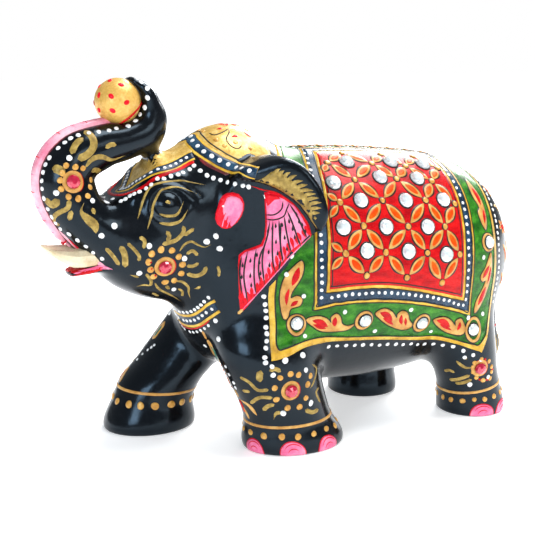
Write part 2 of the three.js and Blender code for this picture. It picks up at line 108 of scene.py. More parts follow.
def leg(x, y, z, tab):
    cx,cy,rx,ry = (cubic(tab, k, z) for k in (1,2,3,4))
    X,Y = x-cx,y-cy
    k0 = np.sqrt((X/rx)**2+(Y/ry)**2); k1 = np.sqrt((X/rx**2)**2+(Y/ry**2)**2)
    d = np.where(k1 < 1e-6, -np.minimum(rx, ry), k0*(k0-1)/np.maximum(k1, 1e-6))
    top = z-tab[-1][0]
    return np.where(top > 0, np.sqrt(np.maximum(d, 0)**2+np.maximum(top, 0)**2), d)
def poly(x, z, P):
    d = np.full(x.shape, 1e6); s = np.ones(x.shape)
    for i in range(len(P)):
        a,b = P[i],P[i-1]; e = b-a; wx,wz = x-a[0],z-a[1]
        t = np.clip((wx*e[0]+wz*e[1])/(e@e), 0, 1)
        d = np.minimum(d, (wx-e[0]*t)**2+(wz-e[1]*t)**2)
        c1,c2,c3 = z >= a[1],z < b[1],e[0]*wz > e[1]*wx
        s = np.where((c1&c2&c3)|(~c1&~c2&~c3), -s, s)
    return s*np.sqrt(d)
EARS,FOLDS = loop(EAR, 3),loop(FOLD, 3)
TR,TL,TF,LP = spline(TRUNK, 66),spline(TAIL, 16),spline(TUFT, 10),spline(LIP, 8)
def ear(x, y, z):
    f = (np.abs(y)-(14.5+0.63*(x+30)))/1.182
    d = smax(poly(x, z, EARS), np.abs(f+4.5)-4.5, 2.2)
    return smin(d, smax(poly(x, z, FOLDS)+0.3, np.abs(f-0.2)-2.2, 2.5), 0.8)
def bump(x, z, cx, cz, rx, rz, turn=0):
    t = math.radians(turn); X,Z = x-cx,z-cz; X,Z = X*math.cos(t)+Z*math.sin(t),-X*math.sin(t)+Z*math.cos(t)
    return np.exp(-((X/rx)**2+(Z/rz)**2))
def line_dist(x, z, P):
    d = np.full(x.shape, 1e6)
    for a, b in zip(P[:-1], P[1:]):
        e = b-a; t = np.clip(((x-a[0])*e[0]+(z-a[1])*e[1])/max(float(e@e), 1e-9), 0, 1)
        d = np.minimum(d, (x-a[0]-t*e[0])**2+(z-a[1]-t*e[1])**2)
    return np.sqrt(d)
def detail(x, y, z, d):
    """the carved eye: a ball in its socket, two lids and a brow, on both sides of the head"""
    t = np.nonzero((x > -50)&(x < -34)&(z > 100)&(d < 3))[0]       # the trunk's tip is a little fuller behind the ball
    if len(t):
        bd = np.sqrt((x[t]-BALL[0])**2+y[t]**2+(z[t]-BALL[2])**2)-BALL[3]
        d = d.copy(); d[t] -= 0.75*np.exp(-((x[t]+40.0)/4.0)**2-((z[t]-109.0)/4.0)**2)*np.clip((bd-0.4)/1.6, 0, 1)
    m = np.nonzero((x > -52)&(x < -24)&(z > 64)&(z < 90)&(np.abs(y) > 5)&(d < 3))[0]
    if not len(m): return d
    X,Z = x[m],z[m]; r = np.hypot(X+39.9, (Z-77.0)*1.08)
    k = 0.70*np.exp(-(r/2.7)**4)                                   # eyeball
    k -= 0.34*np.exp(-((r-3.9)/0.9)**2)*(X > -46)                 # groove round it
    k += 0.34*np.exp(-(line_dist(X, Z, LID_UP)/0.95)**2)+0.3*np.exp(-(line_dist(X, Z, LID_LOW)/0.95)**2)
    k -= 0.26*np.exp(-(line_dist(X, Z, CREASE)/0.8)**2)
    k += 0.35*np.exp(-(line_dist(X, Z, BROW)/1.3)**2)
    d = d.copy(); d[m] -= k*np.clip((np.abs(y[m])-6)/3, 0, 1)
    return d
LID_UP = spline([(-45.6,75.6),(-44.0,79.6),(-40.0,81.9),(-35.8,80.6),(-32.4,77.4)], 14)
LID_LOW = spline([(-45.2,74.2),(-42.4,71.6),(-39.0,71.0),(-35.6,72.6),(-33.4,75.4)], 14)
CREASE = spline([(-47.2,76.8),(-45.4,81.4),(-40.8,84.0),(-35.4,82.8),(-30.4,78.6)], 14)
BROW = spline([(-48.6,79.0),(-45.8,83.2),(-40.6,85.4),(-34.6,84.4)], 12)
def body(P):
    P = np.asarray(P, float); x,y,z = P[:,0],P[:,1],P[:,2]
    d = ell(x, y, z, TORSO[0])
    for c in TORSO[1:]: d = smin(d, ell(x, y, z, c), c[7])
    m = np.nonzero(z < 62)[0]
    if len(m):
        q = d[m]
        for k in LEGS: q = smin(q, leg(x[m], y[m], z[m], LEGS[k]), 5)
        d[m] = q
    m = np.nonzero(x < 16)[0]
    if len(m):
        X,Y,Z = x[m],y[m],z[m]
        h = ell(X, Y, Z, HEAD[0])
        for c in HEAD[1:]: h = smin(h, ell(X, Y, Z, c), c[7])
        n = np.nonzero((X < -24)&(Z > 44))[0]
        if len(n):
            h[n] = smin(smin(h[n], chain(X[n], Y[n], Z[n], TR), 5), chain(X[n], Y[n], Z[n], LP), 1.5)
        q = smin(d[m], h, 7)
        n = np.nonzero((X > -45)&(Z > 26)&(Z < 104)&(np.abs(Y) > 6))[0]
        if len(n): q[n] = smin(q[n], ear(X[n], Y[n], Z[n]), 1.5)
        d[m] = q
    m = np.nonzero(x > 72)[0]
    if len(m): d[m] = smin(smin(d[m], caps(x[m], y[m], z[m], TL), 3), caps(x[m], y[m], z[m], TF), 1)
    m = np.nonzero((x < -34)&(z > 70))[0]
    if len(m):
        s = np.full(m.shape, 1e3)
        for a, b in zip(SLOT[:-1], SLOT[1:]):
            e = (b[0]-a[0],b[1]-a[1]); t = np.clip(((x[m]-a[0])*e[0]+(z[m]-a[1])*e[1])/(e[0]**2+e[1]**2), 0, 1)
            s = np.minimum(s, np.hypot(x[m]-a[0]-t*e[0], z[m]-a[1]-t*e[1])-(a[2]+t*(b[2]-a[2])))
        bd = np.sqrt((x[m]-BALL[0])**2+y[m]**2+(z[m]-BALL[2])**2)-BALL[3]
        d[m] = smax(smax(d[m], -s, 2.5), 0.12-bd, 0.5)
    d = detail(x, y, z, d)
    return smax(d, -z, 1.0)
def grad(P, e=0.03):
    K = np.array([(1,-1,-1),(-1,-1,1),(-1,1,-1),(1,1,1)], float)
    v = body(np.concatenate([P+k*e for k in K])).reshape(4, -1)
    return (K[:,:,None]*v[:,None,:]).sum(0).T/(4*e)
def to_surface(P, n=3):
    P = np.array(P, float)
    for _ in range(n):
        g = grad(P); d = body(P)
        P -= (np.clip(d, -1.5, 1.5)/np.maximum((g*g).sum(1), 0.15))[:,None]*g
    return P
def normals(P):
    g = grad(P); return g/np.maximum(np.linalg.norm(g, axis=1), 1e-9)[:,None]

# ------------------------------------------------------------------ a fine skin over a solid, one vertex in each cell it crosses
def skin_of(f, lo, hi, h, block=4):
    lo,hi = np.array(lo, float),np.array(hi, float)
    nb = np.ceil((hi-lo)/(h*block)).astype(int); n = nb*block+1
    c = np.stack(np.meshgrid(*[np.arange(k) for k in nb], indexing='ij'), -1).reshape(-1, 3)
    centre = lo+(c+0.5)*block*h
    near = np.abs(f(centre)) < block*h*0.87*1.7+0.6
    c = c[near]
    o = np.stack(np.meshgrid(*[np.arange(block+1)]*3, indexing='ij'), -1).reshape(-1, 3)
    ids = (c[:,None,:]*block+o[None,:,:]).reshape(-1, 3)
    flat = (ids[:,0]*n[1]+ids[:,1])*n[2]+ids[:,2]
    u,first = np.unique(flat, return_index=True)
    V = np.full(n[0]*n[1]*n[2], 1e3, np.float32)
    pts = lo+ids[first]*h
    for i in range(0, len(u), 400000): V[u[i:i+400000]] = f(pts[i:i+400000])
    V = V.reshape(n)
    S = V < 0
    known = V < 900
    corner = [(i,j,k) for i in (0,1) for j in (0,1) for k in (0,1)]
    sl = lambda A, i, j, k: A[i:A.shape[0]-1+i, j:A.shape[1]-1+j, k:A.shape[2]-1+k]
    cnt = sum(sl(S, *q).astype(np.int8) for q in corner); ok = np.ones(cnt.shape, bool)
    for q in corner: ok &= sl(known, *q)
    cells = np.argwhere((cnt > 0)&(cnt < 8)&ok)
    index = np.full(cnt.shape, -1, np.int64); index[tuple(cells.T)] = np.arange(len(cells))
    acc = np.zeros((len(cells), 3)); num = np.zeros(len(cells))
    val = {q: V[cells[:,0]+q[0], cells[:,1]+q[1], cells[:,2]+q[2]] for q in corner}
    for a in corner:
        for ax in range(3):
            if a[ax]: continue
            b = list(a); b[ax] = 1; b = tuple(b)
            va,vb = val[a],val[b]; cr = (va < 0) != (vb < 0)
            t = np.where(cr, va/np.where(va == vb, 1, va-vb), 0)
            p = np.tile(np.array(a, float), (len(cells), 1)); p[:,ax] = t
            acc += p*cr[:,None]; num += cr
    P = lo+(cells+acc/num[:,None])*h
    low,high = lo+(cells+0.04)*h,lo+(cells+0.96)*h
    for _ in range(2):
        K = np.array([(1,-1,-1),(-1,-1,1),(-1,1,-1),(1,1,1)], float); e = 0.03
        v = f(np.concatenate([P+k*e for k in K])).reshape(4, -1)
        g = (K[:,:,None]*v[:,None,:]).sum(0).T/(4*e); d = f(P)
        P = np.clip(P-(0.9*d/np.maximum((g*g).sum(1), 0.2))[:,None]*g, low, high)
    quads = []
    for ax in range(3):
        q = [slice(None)]*3; r = [slice(None)]*3
        q[ax] = slice(0, -1); r[ax] = slice(1, None)
        e = np.argwhere((S[tuple(q)] != S[tuple(r)])&known[tuple(q)]&known[tuple(r)])
        o1,o2 = [a for a in range(3) if a != ax]
        e = e[(e[:,o1] > 0)&(e[:,o2] > 0)&(e[:,o1] < n[o1]-1)&(e[:,o2] < n[o2]-1)]
        def cell(d1, d2):
            w = e.copy(); w[:,o1] += d1; w[:,o2] += d2
            return index[w[:,0], w[:,1], w[:,2]]
        F = np.stack([cell(-1,-1), cell(0,-1), cell(0,0), cell(-1,0)], 1)
        inside = S[e[:,0], e[:,1], e[:,2]]
        flip = inside != (ax != 1)
        F[flip] = F[flip][:,::-1]
        quads.append(F[(F >= 0).all(1)])
    return P, np.concatenate(quads)

# ------------------------------------------------------------------ objects and materials
def mesh_object(name, verts, faces, material, smooth=True, smooth_flags=None):
    """verts in carving millimetres"""
    me = bpy.data.meshes.new(name)
    V = to_frame(verts)
    if isinstance(faces, np.ndarray):
        k = faces.shape[1]
        me.vertices.add(len(V)); me.vertices.foreach_set('co', V.astype(np.float32).ravel())
        me.loops.add(faces.size); me.loops.foreach_set('vertex_index', faces.astype(np.int32).ravel())
        me.polygons.add(len(faces)); me.polygons.foreach_set('loop_start', np.arange(0, faces.size, k, dtype=np.int32))
        me.update(calc_edges=True)
    else:
        me.from_pydata([tuple(v) for v in V], [], [tuple(int(i) for i in f) for f in faces])
    me.validate()
    if smooth_flags is not None and len(smooth_flags) == len(me.polygons): me.polygons.foreach_set('use_smooth', np.asarray(smooth_flags, bool))
    else: me.polygons.foreach_set('use_smooth', np.full(len(me.polygons), smooth, bool))
    me.materials.append(material)
    me.update()
    o = bpy.data.objects.new(name, me); bpy.context.collection.objects.link(o)
    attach(o, "root")
    return o

def node(nt, kind, **kw):
    n = nt.nodes.new(kind)
    for k, v in kw.items():
        if k == 'inputs':
            for q, w in v.items(): n.inputs[q].default_value = w
        else: setattr(n, k, v)
    return n
def paint(name, dark, main, light, scale=350, stretch=(1,1,1), rough=(0.12,0.3), bump_mm=0.02, metallic=0.0, coat=0.5, fine=2200, sheen_spec=0.5, coat_rough=0.06, low=0.32, high=0.68):
    m = bpy.data.materials.new(name); m.use_nodes = True; nt = m.node_tree
    b = nt.nodes['Principled BSDF']
    tc = node(nt, 'ShaderNodeTexCoord'); mp = node(nt, 'ShaderNodeMapping')
    mp.inputs['Scale'].default_value = stretch
    nt.links.new(tc.outputs['Object'], mp.inputs['Vector'])
    n1 = node(nt, 'ShaderNodeTexNoise', inputs={'Scale': scale, 'Detail': 6.0, 'Roughness': 0.6}); nt.links.new(mp.outputs[0], n1.inputs['Vector'])
    n2 = node(nt, 'ShaderNodeTexNoise', inputs={'Scale': fine, 'Detail': 3.0, 'Roughness': 0.5}); nt.links.new(mp.outputs[0], n2.inputs['Vector'])
    cr = node(nt, 'ShaderNodeValToRGB')
    e = cr.color_ramp.elements; e[0].position,e[0].color = low,(*dark,1); e[1].position,e[1].color = high,(*light,1)
    k = e.new((low+high)/2); k.color = (*main,1)
    nt.links.new(n1.outputs['Fac'], cr.inputs['Fac']); nt.links.new(cr.outputs['Color'], b.inputs['Base Color'])
    mr = node(nt, 'ShaderNodeMapRange', inputs={'From Min': 0.3, 'From Max': 0.7, 'To Min': rough[0], 'To Max': rough[1]})
    nt.links.new(n2.outputs['Fac'], mr.inputs['Value']); nt.links.new(mr.outputs[0], b.inputs['Roughness'])
    bp = node(nt, 'ShaderNodeBump', inputs={'Strength': 0.6, 'Distance': bump_mm*0.001})
    nt.links.new(n1.outputs['Fac'], bp.inputs['Height']); nt.links.new(bp.outputs[0], b.inputs['Normal'])
    b.inputs['Metallic'].default_value = metallic
    b.inputs['Coat Weight'].default_value = coat; b.inputs['Coat Roughness'].default_value = coat_rough
    b.inputs['Specular IOR Level'].default_value = sheen_spec
    return m

M = {}
M['lacquer'] = paint('black_lacquer', (0.0018,0.0018,0.0022), (0.003,0.003,0.0037), (0.0065,0.0062,0.0068), scale=70, rough=(0.14,0.24), bump_mm=0.06, coat=0.0, fine=700, sheen_spec=0.33)
# painted reflection colour: the Specular Tint turns every reflection on the black lacquer bluish, standing in for
# bluish studio light; the lacquer itself has no blue in it
M['lacquer'].node_tree.nodes['Principled BSDF'].inputs['Specular Tint'].default_value = (0.60,0.81,1.0,1)
M['black'] = paint('black_line', (0.003,0.003,0.0035), (0.006,0.006,0.007), (0.016,0.015,0.014), scale=600, rough=(0.3,0.5), coat=0.0, sheen_spec=0.3)
M['white'] = paint('white_enamel', (0.70,0.70,0.69), (0.84,0.84,0.83), (0.92,0.92,0.92), scale=500, rough=(0.25,0.4), coat=0.1)
M['red'] = paint('red_enamel', (0.34,0.002,0.005), (0.54,0.0045,0.007), (0.68,0.012,0.010), scale=160, stretch=(1,1,2.5), rough=(0.2,0.36), coat=0.02, sheen_spec=0.14)
M['green'] = paint('green_enamel', (0.007,0.060,0.004), (0.020,0.145,0.008), (0.065,0.27,0.018), scale=170, stretch=(1.2,1,2.2), rough=(0.2,0.36), coat=0.05, low=0.34, high=0.68, sheen_spec=0.16)
M['navy'] = paint('navy_enamel', (0.004,0.014,0.03), (0.009,0.034,0.07), (0.025,0.075,0.13), scale=220, rough=(0.2,0.36), coat=0.05, sheen_spec=0.26)
M['yellow'] = paint('yellow_enamel', (0.42,0.21,0.012), (0.65,0.37,0.028), (0.80,0.54,0.09), scale=240, rough=(0.22,0.4), coat=0.05, sheen_spec=0.26)
M['tan'] = paint('ochre_enamel', (0.44,0.19,0.035), (0.60,0.30,0.07), (0.72,0.43,0.13), scale=300, rough=(0.25,0.42), coat=0.08, sheen_spec=0.26)
M['orange'] = paint('orange_enamel', (0.74,0.045,0.0015), (0.88,0.07,0.002), (0.95,0.14,0.008), scale=400, rough=(0.25,0.4), coat=0.0, sheen_spec=0.12)
M['pink'] = paint('pink_enamel', (0.78,0.10,0.24), (0.88,0.20,0.37), (0.93,0.36,0.50), scale=260, rough=(0.22,0.4), coat=0.05, sheen_spec=0.26)
M['hot'] = paint('crimson_enamel', (0.50,0.002,0.008), (0.74,0.004,0.014), (0.86,0.02,0.045), scale=260, rough=(0.22,0.4), coat=0.05, sheen_spec=0.14)
M['gold'] = paint('gold_brush', (0.13,0.08,0.015), (0.36,0.235,0.045), (0.60,0.42,0.11), scale=900, rough=(0.3,0.5), metallic=0.2, coat=0.05, bump_mm=0.05, fine=3000)
M['leafgold'] = paint('gold_leaf', (0.17,0.105,0.018), (0.33,0.215,0.042), (0.52,0.36,0.095), scale=620, rough=(0.34,0.55), metallic=0.1, coat=0.03, bump_mm=0.07, fine=2600, sheen_spec=0.35)
M['capgold'] = paint('cap_gold', (0.50,0.27,0.04), (0.72,0.44,0.09), (0.86,0.62,0.22), scale=420, rough=(0.24,0.42), metallic=0.3, coat=0.12, bump_mm=0.07, fine=2600)
M['ballgold'] = paint('ball_gold', (0.62,0.33,0.06), (0.72,0.41,0.085), (0.80,0.50,0.13), scale=1500, rough=(0.3,0.45), metallic=0.2, coat=0.12, bump_mm=0.05, fine=3000)
M['ivory'] = paint('ivory_enamel', (0.58,0.42,0.22), (0.80,0.66,0.43), (0.88,0.80,0.62), scale=120, rough=(0.2,0.35), coat=0.15)

M['orangegold'] = paint('amber_drop', (0.44,0.19,0.02), (0.62,0.30,0.045), (0.76,0.43,0.10), scale=500, rough=(0.25,0.4), metallic=0.1, coat=0.08)
M['teal'] = paint('teal_enamel', (0.003,0.07,0.05), (0.006,0.13,0.095), (0.02,0.22,0.15), scale=300, rough=(0.22,0.36), coat=0.1)
M['maroon'] = paint('maroon_line', (0.05,0.003,0.005), (0.11,0.007,0.010), (0.22,0.015,0.018), scale=300, rough=(0.25,0.42), coat=0.1)
M['rose'] = paint('rose_enamel', (0.80,0.20,0.30), (0.88,0.38,0.47), (0.93,0.58,0.64), scale=180, rough=(0.22,0.4), coat=0.12)

def stone(name, tint, rough, trans, ior):
    m = bpy.data.materials.new(name); m.use_nodes = True; nt = m.node_tree; b = nt.nodes['Principled BSDF']
    tc = node(nt, 'ShaderNodeTexCoord')
    n1 = node(nt, 'ShaderNodeTexVoronoi', inputs={'Scale': 900.0}); nt.links.new(tc.outputs['Object'], n1.inputs['Vector'])
    cr = node(nt, 'ShaderNodeValToRGB'); e = cr.color_ramp.elements
    e[0].position,e[0].color = 0.0,(*[min(1, t*1.0) for t in tint],1); e[1].position,e[1].color = 1.0,(*[t*0.72 for t in tint],1)
    nt.links.new(n1.outputs['Distance'], cr.inputs['Fac']); nt.links.new(cr.outputs['Color'], b.inputs['Base Color'])
    b.inputs['Roughness'].default_value = rough
    b.inputs['Metallic'].default_value = trans
    b.inputs['IOR'].default_value = ior
    b.inputs['Coat Weight'].default_value = 1.0; b.inputs['Coat Roughness'].default_value = 0.02
    return m
M['crystal'] = stone('clear_crystal', (0.88,0.95,0.96), 0.10, 0.22, 1.6)
M['ruby'] = stone('ruby_glass', (0.62,0.006,0.05), 0.08, 0.25, 1.6)

# ------------------------------------------------------------------ the carved block
CELL = 0.75
BP,BF = skin_of(body, (-78,-42,-2), (98,42,116), CELL)
carving = mesh_object('carving', BP, BF, M['lacquer'])
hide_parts('body')
for n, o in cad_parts.items():
    mat = M['crystal'] if n.startswith('crystal') else M['ruby'] if n.startswith('ruby') else M['ivory'] if n.startswith('tusk') else M['ballgold'] if n == 'ball' else None
    if mat is None: continue
    for s in o.material_slots: s.material = mat

def ball_mesh():
    V,F = [],[]; m,n = 40,72
    for i in range(1, m):
        th = math.pi*i/m
        for j in range(n):
            ph = 2*math.pi*j/n; d = np.array([math.sin(th)*math.cos(ph), math.sin(th)*math.sin(ph), math.cos(th)])
            w = 1-0.004*(1+math.sin(3*d[0]*2+1.3)*math.cos(4*d[2]+0.6)*math.cos(3*d[1]))
            V.append(np.array(BALL[:3])+d*BALL[3]*w)
    V += [np.array(BALL[:3])+np.array([0,0,BALL[3]*0.996]), np.array(BALL[:3])-np.array([0,0,BALL[3]*0.996])]
    for i in range(m-2):
        for j in range(n): F.append((i*n+j, (i+1)*n+j, (i+1)*n+(j+1)%n, i*n+(j+1)%n))
    for j in range(n): F.append(((m-1)*n, j, (j+1)%n)); F.append(((m-1)*n+1, (m-2)*n+(j+1)%n, (m-2)*n+j))
    return np.array(V), F
bv,bf = ball_mesh(); golden = mesh_object('golden_ball', bv, bf, M['ballgold']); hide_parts('ball')

# ------------------------------------------------------------------ painting: raised enamel laid on the surface
rng = np.random.default_rng(7)
STROKES, DOTS, PATCHES = [], [], []
SECTION = {5: (np.array([-1,-0.72,0,0.72,1]), np.array([-0.35,0.72,1,0.72,-0.35])), 7: (np.array([-1,-0.86,-0.5,0,0.5,0.86,1]), np.array([-0.3,0.62,0.92,1,0.92,0.62,-0.3]))}
def resample(P, step):
    P = np.asarray(P, float)
    if len(P) > 2: P = spline(P, max(4*(len(P)-1), 8))
    L = np.concatenate([[0], np.cumsum(np.linalg.norm(np.diff(P[:,:3], axis=0), axis=1))])
    n = max(int(math.ceil(L[-1]/step)), 2)
    s = np.linspace(0, L[-1], n+1)
    return np.stack([np.interp(s, L, P[:,k]) for k in range(P.shape[1])], 1), s
def stroke(mat, pts, w, h=0.10, lift=0.0, prof='round', side='B', step=None, leg_from=None):
    """a raised brush stroke along pts; w is its width, h its height, lift the height of the paint below it"""
    P,s = resample(np.asarray(pts, float)[:,:3], step or max(0.3, min(0.8, 0.4*w)))
    L = s[-1]; t = s/max(L, 1e-9); r = w/2
    if prof == 'round': a = np.minimum(s, L-s)/max(r, 1e-6); f = np.sqrt(np.clip(1-(1-np.clip(a, 0, 1))**2, 0.02, 1))
    elif prof == 'leaf': f = np.clip(np.sin(np.pi*t), 0.02, 1)**0.75
    elif prof == 'drop': f = np.clip(np.sin(np.pi*t**1.7), 0.02, 1)**0.8
    elif prof == 'comma': f = np.clip(np.sin(np.pi*t**0.62), 0.02, 1)**0.85
    elif prof == 'line': f = np.clip(np.minimum(t, 1-t)*8, 0.25, 1)
    else: f = np.ones_like(t)
    STROKES.append(dict(mat=mat, P=P, r=r*f, h=h, lift=lift, side=side, closed=False, leg=leg_from))
def ring(mat, pts, w, h=0.10, lift=0.0, side='B', leg_from=None):
    P = np.asarray(pts, float); P = np.concatenate([P, P[:1]])
    Q,s = resample(P, max(0.3, min(0.8, 0.5*w)))
    STROKES.append(dict(mat=mat, P=Q[:-1], r=np.full(len(Q)-1, w/2), h=h, lift=lift, side=side, closed=True, leg=leg_from))
def dot(mat, p, r, h=None, lift=0.0, side='B', leg_from=None, ex=1.0, ang=0.0):
    DOTS.append((mat, tuple(p[:3]), r, h if h is not None else 0.32*r, lift, side, leg_from, ex, ang))
def leg_shift(P, a, b):
    """moves points on leg a over to the mirrored leg b"""
    P = np.array(P, float); z = np.clip(P[:,2], 0, 60)
    dx = cubic(LEGS[b], 1, z)-cubic(LEGS[a], 1, z)
    sx = cubic(LEGS[b], 3, z)/cubic(LEGS[a], 3, z)
    cx = cubic(LEGS[a], 1, z)
    k = np.clip((44-P[:,2])/18, 0, 1); k = k*k*(3-2*k)
    P[:,0] += k*(dx+(P[:,0]-cx)*(sx-1)); P[:,1] *= -1
    return P
PAIR = {'NF': 'FF', 'NH': 'FH'}
def march(f, O, D, far=70.0, inward=True):
    """first point where the ray from O along D meets f = 0 (or leaves it, when inward is false)"""
    t = np.zeros(len(O)); live = np.ones(len(O), bool); s = 1.0 if inward else -1.0
    for _ in range(70):
        i = np.nonzero(live)[0]
        if not len(i): break
        v = s*f(O[i]+t[i,None]*D[i]); t[i] += np.maximum(v*0.75, 0.004)
        live[i] = (v > 0.004)&(t[i] < far)
    return O+t[:,None]*D
def body_plain(P):
    """the block with no ears, for what passes under them"""
    global ear
    keep = ear; ear = lambda x, y, z: np.full(np.shape(x), 1e3)
    try: return body(P)
    finally: ear = keep
AXZ = {'blanket': 50.0, 'head': 70.0}
def cyl_point(mode, Q, f=None):
    """(x, s) on a wrap about an axis along X to a point of the surface; s is the arc from the left flank over the top, in units of 30 mm a radian"""
    Q = np.asarray(Q, float); th = Q[:,1]/30.0; z0 = AXZ[mode]
    O = np.stack([Q[:,0], np.zeros(len(Q)), np.full(len(Q), z0)], 1)
    D = np.stack([np.zeros(len(Q)), -np.cos(th), np.sin(th)], 1)
    return march(f or body, O, D, inward=False)
def cyl_param(mode, P):
    P = np.asarray(P, float); return np.stack([P[:,0], 30.0*np.arctan2(P[:,2]-AXZ[mode], -P[:,1])], 1)
def side_point(Q, side=-1, f=None):
    Q = np.asarray(Q, float)
    O = np.stack([Q[:,0], np.full(len(Q), side*46.0), Q[:,1]], 1); D = np.tile([0.0,-side*1.0,0.0], (len(Q), 1))
    return march(f or body, O, D, far=60.0)
def offset_poly(Q, d):
    """moves a closed outline outwards by d, keeping its corners"""
    Q = np.asarray(Q, float); a = np.roll(Q, 1, 0); b = np.roll(Q, -1, 0)
    area = 0.5*np.sum(Q[:,0]*b[:,1]-b[:,0]*Q[:,1]); sg = 1 if area > 0 else -1
    def nrm(u):
        u = u/np.maximum(np.linalg.norm(u, axis=1), 1e-9)[:,None]; return sg*np.stack([u[:,1],-u[:,0]], 1)
    n1,n2 = nrm(Q-a),nrm(b-Q); m = n1+n2; m /= np.maximum(np.linalg.norm(m, axis=1), 1e-9)[:,None]
    return Q+m*(d/np.clip((m*n1).sum(1), 0.45, 1))[:,None]
def even(Q, step, closed=True):
    """an outline cut into even steps that keeps every given corner"""
    Q = np.asarray(Q, float); out = []
    m = len(Q) if closed else len(Q)-1
    for i in range(m):
        a,b = Q[i],Q[(i+1)%len(Q)]; n = max(int(round(np.linalg.norm(b-a)/step)), 1)
        out += [a+(b-a)*k/n for k in range(n)]
    if not closed: out.append(Q[-1])
    return np.array(out)
def inside(Q, X):
    r = np.zeros(len(X), bool); j = len(Q)-1
    for i in range(len(Q)):
        a,b = Q[i],Q[j]
        c = ((a[1] > X[:,1]) != (b[1] > X[:,1]))&(X[:,0] < (b[0]-a[0])*(X[:,1]-a[1])/np.where(b[1] == a[1], 1e-12, b[1]-a[1])+a[0]); r ^= c; j = i
    return r
def patch(mat, Q, mode, lift=0.05, step=1.3, side='B', f=None, edge=0.6, sink=0.06, flat2=None):
    """a field of paint inside the outline Q, given in the plane of mode: 'side' (x, z) or a wrap (x, s)"""
    Q = even(Q, edge); lo,hi = Q.min(0),Q.max(0)
    gx,gy = np.meshgrid(np.arange(lo[0], hi[0]+step, step), np.arange(lo[1], hi[1]+step, step*0.866)); gx = gx+(np.arange(gx.shape[0])%2)[:,None]*step/2
    G = np.stack([gx.ravel(), gy.ravel()], 1); G = G[inside(Q, G)]
    if len(G):
        keep = np.ones(len(G), bool)
        for i in range(0, len(G), 4000):
            keep[i:i+4000] = (np.linalg.norm(G[i:i+4000,None]-Q[None], axis=2).min(1) > 0.45*min(step, edge)+0.12)
        G = G[keep]
    V = [Vector(q) for q in np.concatenate([Q, G])]; n = len(Q)
    r = delaunay_2d_cdt(V, [(i, (i+1)%n) for i in range(n)], [], 1, 1e-6)
    verts = np.array([v[:] for v in r[0]]); faces = [tuple(q) for q in r[2]]
    PATCHES.append(dict(mat=mat, uv=verts, faces=faces, mode=mode, lift=lift, side=side, f=f, sink=sink))

